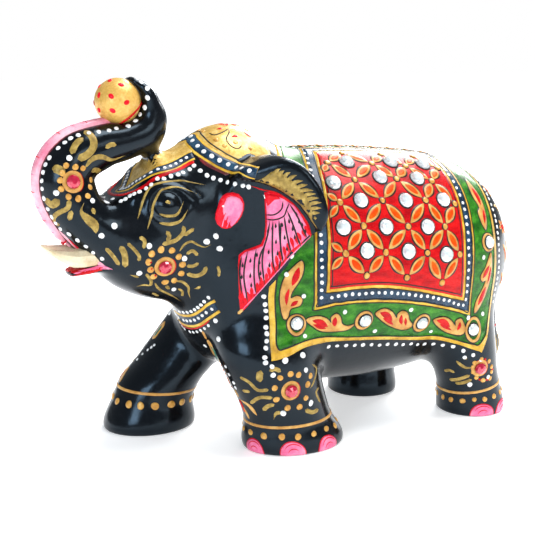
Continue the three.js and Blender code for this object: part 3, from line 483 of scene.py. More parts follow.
SINK = {}
def put(mat, V, F, flags):
    SINK.setdefault(mat, []).append((V, F, flags))
def lay_paint():
    # 1: fields
    for p in PATCHES:
      for s in {'B': (-1, 1), 'L': (-1,), 'R': (1,), 'C': (-1,)}[p['side']]:
        uv = p['uv'] if s == -1 or p['mode'] not in AXZ else np.stack([p['uv'][:,0], FULL-p['uv'][:,1]], 1)
        P = cyl_point(p['mode'], uv, p['f']) if p['mode'] in AXZ else side_point(uv, s, p['f'])
        if p['f'] is None: N = normals(P)
        else:
            K = np.array([(1,-1,-1),(-1,-1,1),(-1,1,-1),(1,1,1)], float); v = p['f'](np.concatenate([P+k*0.03 for k in K])).reshape(4, -1)
            N = (K[:,:,None]*v[:,None,:]).sum(0).T; N /= np.maximum(np.linalg.norm(N, axis=1), 1e-9)[:,None]
        F = [f for f in p['faces'] if len(set(f)) == len(f)]
        c = np.array([np.dot(np.cross(P[f[1]]-P[f[0]], P[f[2]]-P[f[0]]), N[f[0]]) for f in F])
        if (c < 0).sum() > len(c)/2: F = [f[::-1] for f in F]
        cnt = {}
        for f in F:
            for i in range(len(f)):
                e = (f[i], f[(i+1)%len(f)]); cnt[e] = 1
        rim = [e for e in cnt if (e[1], e[0]) not in cnt]
        top = P+N*p['lift']; low = P-N*p['sink']; n = len(P)
        used = sorted({v for e in rim for v in e}); at = {v: n+i for i, v in enumerate(used)}
        V = np.concatenate([top, low[used]]) if used else top
        W = [(e[1], e[0], at[e[0]], at[e[1]]) for e in rim]
        put(p['mat'], V, F+W, [True]*len(F)+[False]*len(W))
    # 2: strokes and dots, all points moved to the surface together
    items = []
    for s in STROKES:
        if s['side'] in 'BL': items.append((s, s['P']))
        if s['side'] == 'B' and s['leg'] is None: items.append((s, s['P'][:,:3]*np.array([1,-1,1])))
        if s['leg'] is not None and s['side'] == 'B': items.append((s, leg_shift(s['P'], s['leg'], PAIR[s['leg']])))
        if s['side'] == 'C': items.append((s, s['P']))
    if items:
        C = np.concatenate([i[1] for i in items]); C = to_surface(C, 3); N = normals(C)
        parts,k = [],0
        for s, P in items:
            c,nn = C[k:k+len(P)],N[k:k+len(P)]; k += len(P)
            t = (np.roll(c, -1, 0)-np.roll(c, 1, 0)) if s['closed'] else np.gradient(c, axis=0)
            b = np.cross(nn, t); b /= np.maximum(np.linalg.norm(b, axis=1), 1e-9)[:,None]
            U,Hh = SECTION[7 if s['r'].max() > 0.9 else 5]
            V = c[:,None,:]+b[:,None,:]*(s['r'][:,None]*U[None,:])[:,:,None]
            hs = np.where(Hh > 0, Hh*s['h']+s['lift'], -0.05)[None,:]*np.ones((len(c), 1))
            if not s['closed']:
                edge = np.clip(s['r']/max(s['r'].max(), 1e-6)*1.6, 0.15, 1); hs = np.where(hs > 0, s['lift']+(hs-s['lift'])*edge[:,None], hs)
            m = len(U); n = len(c); idx = np.arange(n*m).reshape(n, m)
            nx = np.roll(idx, -1, 0) if s['closed'] else idx[1:]; a = idx if s['closed'] else idx[:-1]
            F = np.stack([a[:,:-1], nx[:,:-1], nx[:,1:], a[:,1:]], -1).reshape(-1, 4)
            caps_ = [] if s['closed'] else [tuple(idx[0]), tuple(idx[-1][::-1])]
            parts.append((s['mat'], V.reshape(-1, 3), hs.ravel(), F, caps_))
        A = np.concatenate([p[1] for p in parts]); A = to_surface(A, 2); NA = normals(A); k = 0
        for mat, V, hs, F, caps_ in parts:
            W = A[k:k+len(V)]+NA[k:k+len(V)]*hs[:,None]; W[:,2] = np.maximum(W[:,2], 0.05); k += len(V)
            fs = [tuple(f) for f in F]+caps_
            c = np.cross(W[F[:,1]]-W[F[:,0]], W[F[:,2]]-W[F[:,0]]); nn = NA[k-len(V):k][F[:,0]]
            if ((c*nn).sum(1)).sum() < 0: fs = [f[::-1] for f in fs]
            put(mat, W, fs, [True]*len(fs))
    D = []
    for (mat, p, r, h, lift, side, lg, ex, ang) in DOTS:
        D.append((mat, p, r, h, lift, ex, ang))
        if side == 'B': D.append((mat, tuple(leg_shift([p], lg, PAIR[lg])[0]) if lg is not None else (p[0],-p[1],p[2]), r, h, lift, ex, -ang))
    if D:
        C = to_surface([d[1] for d in D], 3); N = normals(C)
        up = np.where(np.abs(N[:,2:3]) > 0.9, np.array([[1.0,0,0]]), np.array([[0,0,1.0]]))
        T1 = np.cross(up, N); T1 /= np.linalg.norm(T1, axis=1)[:,None]; T2 = np.cross(N, T1)
        rings = [(1.0,None),(0.9,0.55),(0.6,0.9),(0.0,1.0)]
        Vs,Hs,meta = [],[],[]
        for i, (mat, p, r, h, lift, ex, ang) in enumerate(D):
            n = 16 if r > 0.9 else 12; a = np.arange(n)*2*np.pi/n; pts,hh = [],[]
            wob = 1+0.05*np.sin(2*a+i)+0.03*np.sin(3*a+2.3*i)
            for q, g in rings[:3]:
                uu,vv = np.cos(a)*r*q*wob*ex,np.sin(a)*r*q*wob
                ca,sa = math.cos(ang),math.sin(ang); uu,vv = uu*ca-vv*sa,uu*sa+vv*ca
                pts.append(C[i]+uu[:,None]*T1[i]+vv[:,None]*T2[i]); hh.append(np.full(n, -0.05 if g is None else lift+g*h))
            pts.append(C[i:i+1]); hh.append([lift+h]); Vs.append(np.concatenate(pts)); Hs.append(np.concatenate(hh)); meta.append((mat, n))
        A = np.concatenate(Vs); Hs = np.concatenate(Hs); A = to_surface(A, 2); A = A+normals(A)*Hs[:,None]; A[:,2] = np.maximum(A[:,2], 0.05); k = 0
        for mat, n in meta:
            W = A[k:k+3*n+1]; k += 3*n+1; F = []
            for q in range(2):
                for j in range(n): F.append((q*n+j, q*n+(j+1)%n, (q+1)*n+(j+1)%n, (q+1)*n+j))
            for j in range(n): F.append((2*n+j, 2*n+(j+1)%n, 3*n))
            put(mat, W, F, [True]*len(F))
    # 3: one object for each paint
    total = 0
    for mat, lst in SINK.items():
        V,F,G,k = [],[],[],0
        for v, f, g in lst:
            V.append(v); F += [tuple(int(i)+k for i in q) for q in f]; G += list(g); k += len(v)
        o = mesh_object('paint_'+mat.split('|')[0]+('_'+mat.split('|')[1] if '|' in mat else ''), np.concatenate(V), F, M[mat.split('|')[0]], smooth_flags=G)
        total += len(F)
    print('paint faces', total, 'strokes', len(STROKES), 'dots', len(DOTS), 'fields', len(PATCHES))
BALLDOTS = [(-0.07,-0.68,0.73),(-0.57,-0.78,0.27),(0.04,-1.0,0.0),(-0.52,-0.78,-0.34),(-0.92,-0.25,0.3),(-0.39,-0.2,0.9),(-0.07,0.68,0.73),(-0.57,0.78,0.27),(0.04,1.0,0.0),(-0.52,0.78,-0.34),(-0.92,0.28,-0.05),(-0.95,-0.2,-0.35),(-0.75,0.15,0.65)]

# ------------------------------------------------------------------ strokes and dots of the flanks, in carving millimetres
def dots(mat, pts, r, lift=0.0, side="B", leg=None, h=None):
    for p in pts: dot(mat, p, r*rng.uniform(0.93, 1.07), h, lift, side, leg, ex=rng.uniform(0.9, 1.12), ang=rng.uniform(0, 3.1))
# trunk: dots down the edge, rosette, gold flourishes
dots('white',[(-47.6,-4.7,98.8),(-51.3,-4.9,98.3),(-53.6,-5.2,97.8),(-56.6,-5,97.5),(-59.4,-4.7,97.3),(-62.4,-4.3,96.8),(-64.6,-4.1,96),(-66.4,-4.2,94.9),(-68.3,-4.1,93.4),(-71,-3.8,90.9),(-72.5,-3.8,89.2),(-73.4,-3.8,87),(-73.9,-3.8,84.5),(-73.8,-3.8,82.2),(-73.4,-3.8,79.3),(-72.4,-3.8,76.2),(-71.3,-3.8,73.7),(-70,-3.8,72),(-68.5,-3.9,70.5),(-66.5,-5.5,69.1),(-64.4,-6.4,67.3),(-62.2,-7,65.4),(-60.1,-7,63.4),(-57.7,-7.7,61.6)],0.74)
dots('white',[(-66.2,-7.3,90.8),(-70.3,-7.2,81.3),(-60.5,-9.1,78.7),(-55,-11.2,71.4),(-58.7,-10.6,68.8)],0.82)
dots('white',[(-57.5,-3.2,84.4)],0.68)
stroke('leafgold',[(-61.4,-5.5,96.1),(-63.7,-6.1,94.6),(-65.5,-7.1,91.9)],1.98)
stroke('leafgold',[(-60.2,-3.3,97.9),(-58.9,-6.1,96.1),(-59,-7.3,93.8),(-61,-7.8,91.6),(-64,-7.9,90.4)],2.25)
stroke('leafgold',[(-55.6,-7.5,93.1),(-53.9,-7.3,94),(-52.3,-7.3,93.8)],1.50)
stroke('leafgold',[(-61.9,-8,88),(-59.7,-7.8,90.2),(-56.8,-7.5,90.7),(-53.2,-6.3,89.5),(-49.2,-6,90.6)],1.70,prof='comma')
stroke('leafgold',[(-70.8,-5.8,88),(-69.4,-7,87.8),(-67.8,-8,86.6)],2.66,prof='round')
stroke('leafgold',[(-59.9,-7,86.6),(-58.3,-6.4,87),(-56.4,-4.6,86.1)],1.77)
stroke('leafgold',[(-72.7,-3.8,79.5),(-71.2,-5.5,77.8),(-69.6,-7.6,79.4)],2.45)
stroke('leafgold',[(-67.2,-8.8,79.4),(-67.5,-8.5,77.1),(-69.7,-6.4,75.5),(-70.4,-4.2,73.9),(-69.7,-3.4,72.1),(-68.9,-4.8,72)],1.57,prof='round')
stroke('leafgold',[(-66.6,-8.9,76.3),(-67.1,-7.8,73.4)],1.64)
stroke('leafgold',[(-63.2,-9.6,78.3),(-64.1,-9.7,75.9),(-62.2,-10.1,73.6),(-60.5,-10.4,71.8),(-60.2,-10.3,69.5)],2.86,prof='drop')
stroke('leafgold',[(-60.9,-9.8,76.8),(-60.3,-10.2,75)],1.36)
stroke('leafgold',[(-57.4,-10.1,65.1),(-55.5,-10.3,62.7),(-53.5,-10.2,59.7)],1.50)
stroke('leafgold',[(-53.7,-12,65.6),(-52.4,-12,62.9),(-52,-10.9,59.1)],1.91)
ROS_TRUNK = (-65.9, -8.7, 84.3)
dots('orangegold',[(-67.3,-7.6,88.8),(-64.8,-8.2,88.3),(-62.6,-8.1,87.8),(-68.5,-7.7,86.8),(-69.2,-7.7,84.8),(-69.1,-8,82.4),(-67.3,-8.8,80.2),(-64.7,-9.4,79.6),(-61.8,-9,80.1),(-60.6,-7.7,82.4),(-59.9,-6.6,84.3)],0.92)
# eye
stroke('leafgold',[(-48.4,-12.4,73),(-47.2,-12,76.1),(-46.4,-11.8,78.4),(-43.9,-11.2,81.8),(-40.7,-11.8,82.9),(-35.4,-12.5,83.3),(-31.2,-13.9,82.5),(-28.1,-15,81.8)],0.88,prof='comma')
stroke('leafgold',[(-46.1,-13.9,70.1),(-44.6,-13.6,74.1),(-43.6,-13.3,77.6),(-41.2,-12.9,80.8),(-37.8,-13.2,81.6),(-33.9,-14.2,80.9),(-30.1,-15.6,79)],0.88,prof='comma')
stroke('leafgold',[(-42.7,-14.3,74.4),(-40.5,-15,73.6),(-37.4,-15.6,74.1),(-35.3,-15.2,77.6)],1.06,prof='comma')
stroke('leafgold',[(-42.8,-14.6,71.8),(-39.8,-15.3,71.3),(-36.7,-15.8,72.1),(-34.3,-15.9,75.2)],1.10,prof='comma')
stroke('leafgold',[(-40.7,-14.3,77.5),(-39.9,-14.5,77.6),(-39.5,-14.8,77)],0.97)
# cheek: rosette and flourishes
stroke('leafgold',[(-51.8,-12.7,66.4),(-50,-13.3,64.5),(-48.6,-13.6,62.3),(-48.9,-13.2,61)],1.12)
stroke('leafgold',[(-48.5,-13.7,68.1),(-47.1,-14.1,66.9),(-47.5,-14.1,64.7)],1.29)
stroke('leafgold',[(-40.8,-15.2,69.4),(-40,-15.4,67.7),(-40.9,-15.3,66.6)],1.40)
stroke('leafgold',[(-36,-16,70.6),(-35.8,-16,68.9),(-37.9,-15.7,66.7),(-40.6,-15.4,65.9),(-42.2,-15.2,65.7)],1.40)
stroke('leafgold',[(-32.6,-16.2,69.6),(-35.7,-16,67.8)],1.29)
stroke('leafgold',[(-37,-15.6,63.2),(-35.6,-15.9,65.1),(-33.4,-16,65.8),(-31.2,-16.1,64.6),(-29.3,-16.4,63.9),(-27.6,-17,64.6)],0.84,prof='comma')
stroke('leafgold',[(-34.9,-15.6,62.2),(-33,-15.8,63),(-31.3,-15.8,61.5)],1.18)
stroke('leafgold',[(-34.6,-15,58.6),(-32.7,-15.2,58.3),(-31,-15.6,59.2)],1.18)
stroke('leafgold',[(-34.3,-14.3,56.1),(-31.7,-14.6,55.2),(-29.6,-15.6,56.1),(-28.8,-16.2,58.1)],1.46)
stroke('leafgold',[(-37.6,-13,54),(-35.2,-13.1,53.5),(-33.1,-12.6,51.6),(-32.6,-11.6,49.7),(-31.6,-10.6,47.5)],1.01,prof='comma')
stroke('leafgold',[(-35.9,-11.5,51.3),(-34.4,-11.1,50.1),(-33.9,-9.8,48.4)],0.90)
stroke('leafgold',[(-31.5,-13,51),(-30.5,-13.6,51.3),(-29.9,-14.3,51.9)],1.01,prof='drop')
stroke('leafgold',[(-39.9,-11.8,52.6),(-38.5,-11.1,51.3)],1.24)
stroke('leafgold',[(-43.3,-11.7,53.8),(-41.6,-10.5,51.6),(-38.4,-9.4,49.6),(-33.6,-7.5,46.3)],1.01,prof='comma')
stroke('leafgold',[(-46.3,-12.6,57),(-44.5,-11.8,54.5),(-44.2,-10.6,52.8)],1.07)
stroke('leafgold',[(-44.2,-10.7,52.8),(-46.2,-10.1,53.1),(-47.8,-8.7,52.6)],0.84,prof='comma')
stroke('leafgold',[(-50.5,-10.5,56.7),(-49,-11.1,56.2),(-48,-11.3,55.8)],0.95,prof='drop')
stroke('leafgold',[(-42.8,-8.4,50.1),(-40.5,-7.4,48.6)],1.12)
dots('orangegold',[(-42.5,-15.1,64.1),(-39.3,-15.4,63.6)],1.04)
dots('orangegold',[(-45.2,-14.6,63),(-37.2,-15.4,61.6),(-46,-14,60.6),(-45.2,-13.4,58.2),(-44,-12.7,55.9),(-40.4,-12.5,53.8),(-37.8,-13.1,54.2),(-36,-14.2,56.3),(-35.9,-15,59.1)],1.01)
dots('red',[(-45.4,-14.1,60.6),(-45,-13.6,58.6),(-43.6,-13,56.4)],0.37,lift=0.25)
dots('white',[(-45.9,-14.6,65.4),(-35.4,-15.4,60.9),(-48.2,-12.1,57.2),(-37.1,-11.1,51.1),(-55,-11.2,71.4),(-28.8,-16.5,65.5),(-25.4,-18.1,63.4)],0.87)
dots('white',[(-26.3,-17.5,67)],0.95)
dots('white',[(-26.3,-17.5,67.2)],0.79)
stroke('leafgold',[(-26,-17.8,58.3),(-25.6,-18,56.7),(-25.7,-17.9,55)],0.95)
patch('hot',[(-24.1,78.8),(-23.1,79.6),(-21.9,79.9),(-20.3,79.4),(-19.4,78.1),(-19,76.6),(-19.1,75),(-19.7,72.9),(-20.7,71.2),(-22.4,69.5),(-23.6,69.2),(-24.8,69.5),(-25.9,70.6),(-26.4,72.2),(-26.2,73.9),(-25.4,76.2),(-24.8,77.8)],'side',lift=0.08,step=1.0)
patch('pink',[(-23.8,76.7),(-23.2,78.2),(-22.2,78.7),(-21.1,78.6),(-20,78),(-19.3,76.5),(-19.4,74.8),(-20.2,72.6),(-21.4,70.7),(-22.3,69.8),(-22.6,70.6),(-22.4,71.7),(-23,70.6),(-23.3,71.2),(-23,73.2),(-23.6,71.7),(-23.9,71.9),(-23.6,74.1),(-24.1,73.2),(-24.3,74.2),(-24.3,75.4)],'side',lift=0.13,step=1.0)
dots('white',[(-24.2,-18.2,75.8)],0.36,lift=0.12)
stroke('pink',[(-24.6,-18.2,69.7),(-24.2,-18.4,71.6),(-23.5,-18.7,73.6)],0.32,lift=0.12)
stroke('pink',[(-23.5,-18.9,69.5),(-22.8,-19.1,71.2),(-22.6,-19.2,72.6)],0.32,lift=0.12)
# forehead and cap
# front leg
stroke('leafgold',[(-17.2,-28.2,28),(-17.5,-27.8,25.9),(-17.1,-27.7,24.3)],2.19,prof='round',leg_from='NF')
stroke('leafgold',[(-14.9,-29.2,27.7),(-13.3,-29.6,28.3),(-11.5,-30,27.3)],1.46,leg_from='NF')
stroke('leafgold',[(-21.7,-23.4,25.3),(-19.7,-25.4,24),(-17.5,-26.6,21.6),(-14.8,-28.6,21.8)],1.25,leg_from='NF')
stroke('leafgold',[(-20.3,-22.1,20.5),(-19,-24.7,20.8)],1.25,leg_from='NF')
stroke('leafgold',[(-17.9,-22.8,16.4),(-16.7,-26.3,19),(-13.5,-28.6,19.1)],1.36,leg_from='NF')
stroke('leafgold',[(-15.1,-25.6,14.5),(-14.3,-26.9,16.1),(-12.7,-28.3,16.9)],1.56,leg_from='NF')
stroke('leafgold',[(-12.3,-27.1,11.7),(-11.9,-27.9,13.8),(-10.3,-28.8,14)],1.46,prof='drop',leg_from='NF')
stroke('leafgold',[(-3.1,-29.9,14.1),(-0.4,-29.6,12.8),(2.3,-28.7,13)],1.46,leg_from='NF')
stroke('leafgold',[(0.2,-28.2,27.4),(2.4,-27.2,25.4),(0.4,-28.8,22),(-1.2,-29.6,20.5)],0.78,prof='line',leg_from='NF')
stroke('leafgold',[(2.8,-27.7,19.6),(1.5,-28.6,18.4),(3.3,-28,14.9)],0.89,prof='line',leg_from='NF')
dots('orangegold',[(-11.7,-30,25.4),(-8.4,-30.4,26.2),(-5.6,-30.3,25.5),(-0.9,-29.1,24.2),(-2.2,-29.8,21.9),(-2.9,-30,17.8),(-5.1,-30,15.4),(-8.9,-29.5,15.5),(-12.4,-28.9,18.5),(-13.2,-29.4,22.3)],0.94,leg='NF')
dots('white',[(-2.7,-29.5,26.4),(-0.9,-29.6,15.8),(-10,-28.8,13.8)],0.89,leg='NF')
dots('white',[(-25.8,-15.6,41.2),(-25.5,-16.8,35.8)],0.94)
dots('white',[(-9.9,-29.8,30.4),(-3.5,-29,31)],1.04)
dots('white',[(-14.3,-24.6,49.2),(-14,-24.8,46.8),(-13.8,-24.9,44.9),(-13.8,-25.1,42.8),(-14.2,-25.7,40.1),(-14.2,-26.3,38.3),(-14.7,-27.1,36.3),(-15.3,-27.7,34.4),(-16,-28.4,31.8),(-15.9,-28.7,30.3),(-14.1,-29.4,29),(-13.8,-29.5,26.4)],0.78)
stroke('tan',[(-27.2,-9.1,36.7),(-25.8,-9.1,33.9)],1.46,side='L')
stroke('tan',[(-25.8,-10.1,34),(-24.3,-9.6,31.1),(-21.5,-7.5,27.3),(-23.6,-14.4,27.2)],3.13,side='L')
stroke('teal',[(-24.8,-9.9,32),(-23.4,-10.1,29.5),(-19.5,-4.3,25.1)],1.67,lift=0.12,side='L')
stroke('tan',[(-23.6,-14.3,27.3),(-21.9,-14.7,23.3),(-20,-14.9,19.1)],1.15,prof='line',side='L')
stroke('red',[(-23.5,-14.3,27.2),(-21.8,-14.7,23.2),(-20.1,-15,19.4)],0.52,lift=0.12,prof='line',side='L')
stroke('tan',[(-20.7,-17.9,19.7),(-19.5,-18,17.2)],1.36,side='L')
stroke('tan',[(-19.2,-17.4,16.7),(-18,-21.6,15.5),(-16,-23.4,12.4)],1.77,prof='drop',side='L')
stroke('tan',[(-18.9,-17.1,16.1),(-17.8,-18.4,13.1),(-16.7,-19.9,10.3)],1.77,prof='drop',side='L')
stroke('red',[(-19,-17.5,16.2),(-17.5,-18.3,12.2)],1.25,lift=0.12,side='L')
dots('white',[(-24.3,-19,27.7),(-23.1,-19,25.1),(-21.9,-19.6,22.5),(-21.2,-19.4,20.8),(-24.7,-5.6,30.8)],0.63,side='L')
dots('white',[(-23.2,-14.7,26.1),(-22.6,-14.9,24.8),(-22,-15,23.5),(-21.2,-14.6,21.9),(-20.7,-15,20.5)],0.47,side='L')
# far strip
stroke('tan',[(-28.4,17.2,33.8),(-30.2,18.3,31.0),(-32.2,18.7,28.0)],2.9,side='L')
stroke('teal',[(-29.3,17.8,32.4),(-30.3,18.3,30.7),(-31.6,18.6,29.0)],1.5,lift=0.12,side='L')
dots('white',[(-32.9,15.5,26.9),(-33.7,16.2,26.1),(-34.6,17.2,25.2),(-35.9,18.6,23.6),(-37.3,19.5,21.7)],0.5,side='L')
stroke('tan',[(-38.8,23.6,18.6),(-41.0,23.4,16.2),(-43.0,22.9,13.8)],2.6,side='L')
stroke('red',[(-39.4,23.4,17.8),(-41.0,23.2,16.2),(-42.2,22.9,14.8)],1.1,lift=0.12,side='L')
stroke('tan',[(-38.4,21.4,18.2),(-40.4,20.4,15.8),(-42.0,19.4,14.0)],1.7,side='L')
# hind leg
stroke('leafgold',[(55.7,-20.4,15.2),(56.1,-22.5,16),(57.2,-23.9,15.4)],1.17,leg_from='NH')
stroke('leafgold',[(57.1,-21.4,12.3),(58.4,-24.2,13),(60.8,-27.3,14.9)],1.38,leg_from='NH')
stroke('leafgold',[(56.2,-25.7,20.1),(58.1,-26.6,18.3),(59.6,-27.4,17.6),(61.7,-28.6,18)],1.28,prof='comma',leg_from='NH')
stroke('leafgold',[(57.6,-27.7,21.8),(58.7,-28.1,20.9)],1.59,leg_from='NH')
stroke('leafgold',[(58.3,-23.1,11.4),(59.7,-25.3,11.9),(61.7,-27.3,13.4)],1.28,leg_from='NH')
dots('orangegold',[(61.4,-28.9,19.5),(63.6,-29.6,20.5),(67.1,-29.2,19.3),(68.8,-28.6,17),(69,-28.4,15.2),(68.3,-28.5,13.1),(65.5,-28.5,12.8),(63,-28.1,13.9),(61.6,-28,15.9),(61.2,-28.4,18)],0.80,leg='NH')
dots('red',[(62.4,-29.3,19.8),(65.2,-29.6,20.3),(69.4,-28.3,15.9),(67,-28.6,12.9),(64.2,-28.3,13.2)],0.48,leg='NH')
dots('white',[(61.5,-26.7,11.4)],0.80,leg='NH')
dots('white',[(67.5,-28.6,13.7)],0.74,leg='NH')
dots('white',[(58,-27.9,21.5)],0.69)
# collar at the throat
# ear: the rose lining and its ribs, the folded rim
patch('hot',[(-14.1,80),(-12.1,80.3),(-9.4,78.9),(-7,76.6),(-5.1,74),(-3.3,70.5),(-2.3,67.1),(-5.2,63.6),(-8.9,59.1),(-12,55.2),(-15.7,50.5),(-18.6,46.4),(-20.5,44),(-20.7,48.1),(-20.9,53.2),(-20.9,58.3),(-20.6,61.6),(-19,63),(-16.4,64.1),(-14.9,64.8),(-14.1,66.9),(-13.8,70.3),(-13.9,75)],'side',lift=0.06,step=1.2)
patch('pink',[(-13.7,78),(-13.3,79.5),(-11.6,79.1),(-9.4,78.1),(-6.7,76.1),(-5.2,73.5),(-3.8,70.5),(-3.2,67.4),(-5.4,65),(-8,62.6),(-9.4,59.9),(-11.6,58.1),(-13.3,54.7),(-15.6,53.6),(-16.5,50.1),(-18.2,50.1),(-19.3,48.7),(-20.2,51.8),(-20.5,54.9),(-20.4,58.3),(-20.1,61.1),(-18.9,62.4),(-16.3,63.3),(-14.5,64.2),(-13.7,66.6),(-13.4,70.3),(-13.5,73.7)],'side',lift=0.11,step=1.2)
patch('hot',[(-13.9,79.8),(-10.8,79.1),(-10.2,78.1),(-11.6,77.8),(-12.8,76.4),(-13.3,76),(-13.6,77)],'side',lift=0.16,step=1.0)
stroke('black',[(-13.8,-24.7,73.4),(-11.6,-26.1,73.5),(-9.9,-27.2,75.1),(-9.5,-27.4,77.5)],0.54,h=0.07,lift=0.13,prof='line')
stroke('black',[(-13.9,-24.6,72.2),(-11.6,-26.1,72),(-9.4,-27.5,73),(-8.6,-28,75.1),(-8,-28.4,77.1)],0.51,h=0.07,lift=0.13,prof='line')
stroke('black',[(-12.7,-25.4,71.9),(-13.3,-25,67.3),(-14.2,-24.5,63.6),(-14.6,-24.2,59.5),(-14.2,-24.5,54),(-14.1,-24.5,52.8)],0.61,h=0.08,lift=0.14,prof='line')
stroke('black',[(-12,-25.9,71.9),(-12.1,-25.8,67),(-12.1,-25.8,62.6),(-11.9,-25.9,58.8),(-11.3,-26.3,56.4)],0.61,h=0.08,lift=0.14,prof='line')
stroke('black',[(-10.5,-26.8,72.1),(-10.3,-26.9,67.3),(-9.9,-27.2,62.6),(-9.4,-27.5,59.2)],0.61,h=0.08,lift=0.14,prof='line')
stroke('black',[(-9.2,-27.6,73.2),(-8.8,-27.9,69.4),(-8,-28.4,64.7),(-7.3,-28.8,62)],0.61,h=0.08,lift=0.14,prof='line')
stroke('black',[(-8.5,-28,74.8),(-7.1,-28.9,70.8),(-6,-29.6,67.1),(-5,-30.3,64)],0.61,h=0.08,lift=0.14,prof='line')
stroke('black',[(-7.9,-28.4,76.6),(-6,-29.6,73.1),(-4.6,-30.5,69.4),(-3.5,-31.2,66.6)],0.61,h=0.08,lift=0.14,prof='line')
stroke('black',[(-16.1,-23.3,63.3),(-16.5,-23,59.8),(-16.6,-22.9,55.7),(-16.4,-23.1,51.9),(-16.1,-23.2,49.9)],0.61,h=0.08,lift=0.14,prof='line')
stroke('black',[(-18.2,-22,62.6),(-18.9,-21.5,58.4),(-19.1,-21.4,54.6),(-18.5,-21.7,50.1),(-18.2,-21.9,47.3)],0.61,h=0.08,lift=0.14,prof='line')
stroke('black',[(-19.7,-21,61.2),(-20.1,-20.7,57.3),(-20,-20.8,53.9),(-19.6,-21,50.1)],0.61,h=0.08,lift=0.14,prof='line')
stroke('black',[(-14.2,-24.4,64.2),(-15.3,-23.8,60.5),(-15.5,-23.6,56.7),(-15,-23.9,53.3)],0.61,h=0.08,lift=0.14,prof='line')
stroke('black',[(-13.1,-25.1,69.6),(-13.2,-25.1,68.7),(-13.2,-25.1,67.9)],0.83,h=0.08,lift=0.14,prof='drop')
stroke('black',[(-11.3,-26.3,71.2),(-11.3,-26.3,70.2),(-11.3,-26.3,69.5)],0.83,h=0.08,lift=0.14,prof='drop')
stroke('black',[(-11.2,-26.4,66.4),(-11.2,-26.3,65.5),(-11.2,-26.3,64.8)],0.83,h=0.08,lift=0.14,prof='drop')
stroke('black',[(-9.8,-27.2,71.5),(-9.7,-27.3,70.6),(-9.7,-27.3,69.8)],0.83,h=0.08,lift=0.14,prof='drop')
stroke('black',[(-9.2,-27.6,67.8),(-9.1,-27.7,66.9),(-9,-27.7,66.1)],0.83,h=0.08,lift=0.14,prof='drop')
stroke('black',[(-8.1,-28.3,72.6),(-8,-28.4,71.6),(-7.9,-28.4,70.9)],0.83,h=0.08,lift=0.14,prof='drop')
stroke('black',[(-7.2,-28.8,70.4),(-7.1,-28.9,69.4),(-7.1,-28.9,68.7)],0.83,h=0.08,lift=0.14,prof='drop')
stroke('black',[(-6.3,-29.4,74.5),(-6.2,-29.5,73.6),(-6.1,-29.6,72.9)],0.83,h=0.08,lift=0.14,prof='drop')
stroke('black',[(-5,-30.3,71.6),(-4.8,-30.4,70.7),(-4.7,-30.4,69.9)],0.83,h=0.08,lift=0.14,prof='drop')
stroke('black',[(-4.1,-30.8,69.8),(-4,-30.9,68.8),(-3.9,-30.9,68.1)],0.83,h=0.08,lift=0.14,prof='drop')
stroke('black',[(-12.9,-25.3,63.5),(-13,-25.2,62.6),(-13,-25.2,61.8)],0.83,h=0.08,lift=0.14,prof='drop')
stroke('black',[(-12.8,-25.3,59.6),(-12.8,-25.3,58.7),(-12.8,-25.3,57.9)],0.83,h=0.08,lift=0.14,prof='drop')
stroke('black',[(-15.2,-23.8,60.4),(-15.3,-23.8,59.5),(-15.3,-23.8,58.7)],0.83,h=0.08,lift=0.14,prof='drop')
stroke('black',[(-15,-23.9,57.2),(-15,-23.9,56.2),(-15,-23.9,55.5)],0.83,h=0.08,lift=0.14,prof='drop')
stroke('black',[(-17.4,-22.4,60.9),(-17.5,-22.4,60),(-17.6,-22.3,59.2)],0.83,h=0.08,lift=0.14,prof='drop')
stroke('black',[(-17.5,-22.4,56.5),(-17.5,-22.3,55.5),(-17.6,-22.3,54.7)],0.83,h=0.08,lift=0.14,prof='drop')
stroke('black',[(-19.4,-21.2,59.5),(-19.4,-21.1,58.5),(-19.5,-21.1,57.8)],0.83,h=0.08,lift=0.14,prof='drop')
stroke('black',[(-19.6,-21.1,56.1),(-19.6,-21,55.1),(-19.6,-21,54.4)],0.83,h=0.08,lift=0.14,prof='drop')
stroke('black',[(-10.8,-26.6,63.1),(-10.8,-26.6,62.1),(-10.8,-26.6,61.4)],0.83,h=0.08,lift=0.14,prof='drop')
stroke('black',[(-8.5,-28,64.5),(-8.5,-28.1,63.5),(-8.4,-28.1,62.8)],0.83,h=0.08,lift=0.14,prof='drop')
stroke('black',[(-6.7,-29.2,67.9),(-6.6,-29.3,66.9),(-6.5,-29.3,66.2)],0.83,h=0.08,lift=0.14,prof='drop')
stroke('black',[(-17.3,-22.5,53.7),(-17.3,-22.5,52.7),(-17.3,-22.5,52)],0.83,h=0.08,lift=0.14,prof='drop')
stroke('black',[(-15.8,-23.4,62.6),(-15.9,-23.4,61.7),(-15.9,-23.4,60.9)],0.83,h=0.08,lift=0.14,prof='drop')
stroke('black',[(-12,-25.8,70.5),(-12.1,-25.8,69.5),(-12.1,-25.8,68.8)],0.83,h=0.08,lift=0.14,prof='drop')
stroke('black',[(-10.3,-26.9,69.2),(-10.2,-27,68.2),(-10.2,-27,67.5)],0.83,h=0.08,lift=0.14,prof='drop')
stroke('black',[(-5.7,-29.8,72.6),(-5.6,-29.9,71.7),(-5.5,-29.9,70.9)],0.83,h=0.08,lift=0.14,prof='drop')
stroke('hot',[(-3.2,-31.4,67.4),(-3.6,-31.1,69),(-4.2,-30.8,70.5)],1.30,h=0.07,lift=0.13,prof='drop')
stroke('hot',[(-3.9,-31,66.6),(-4.3,-30.7,67.9),(-4.9,-30.3,69.1)],1.30,h=0.07,lift=0.13,prof='drop')
stroke('hot',[(-4.9,-30.3,65.4),(-5.3,-30,66.9),(-6,-29.6,68.4)],1.30,h=0.07,lift=0.13,prof='drop')
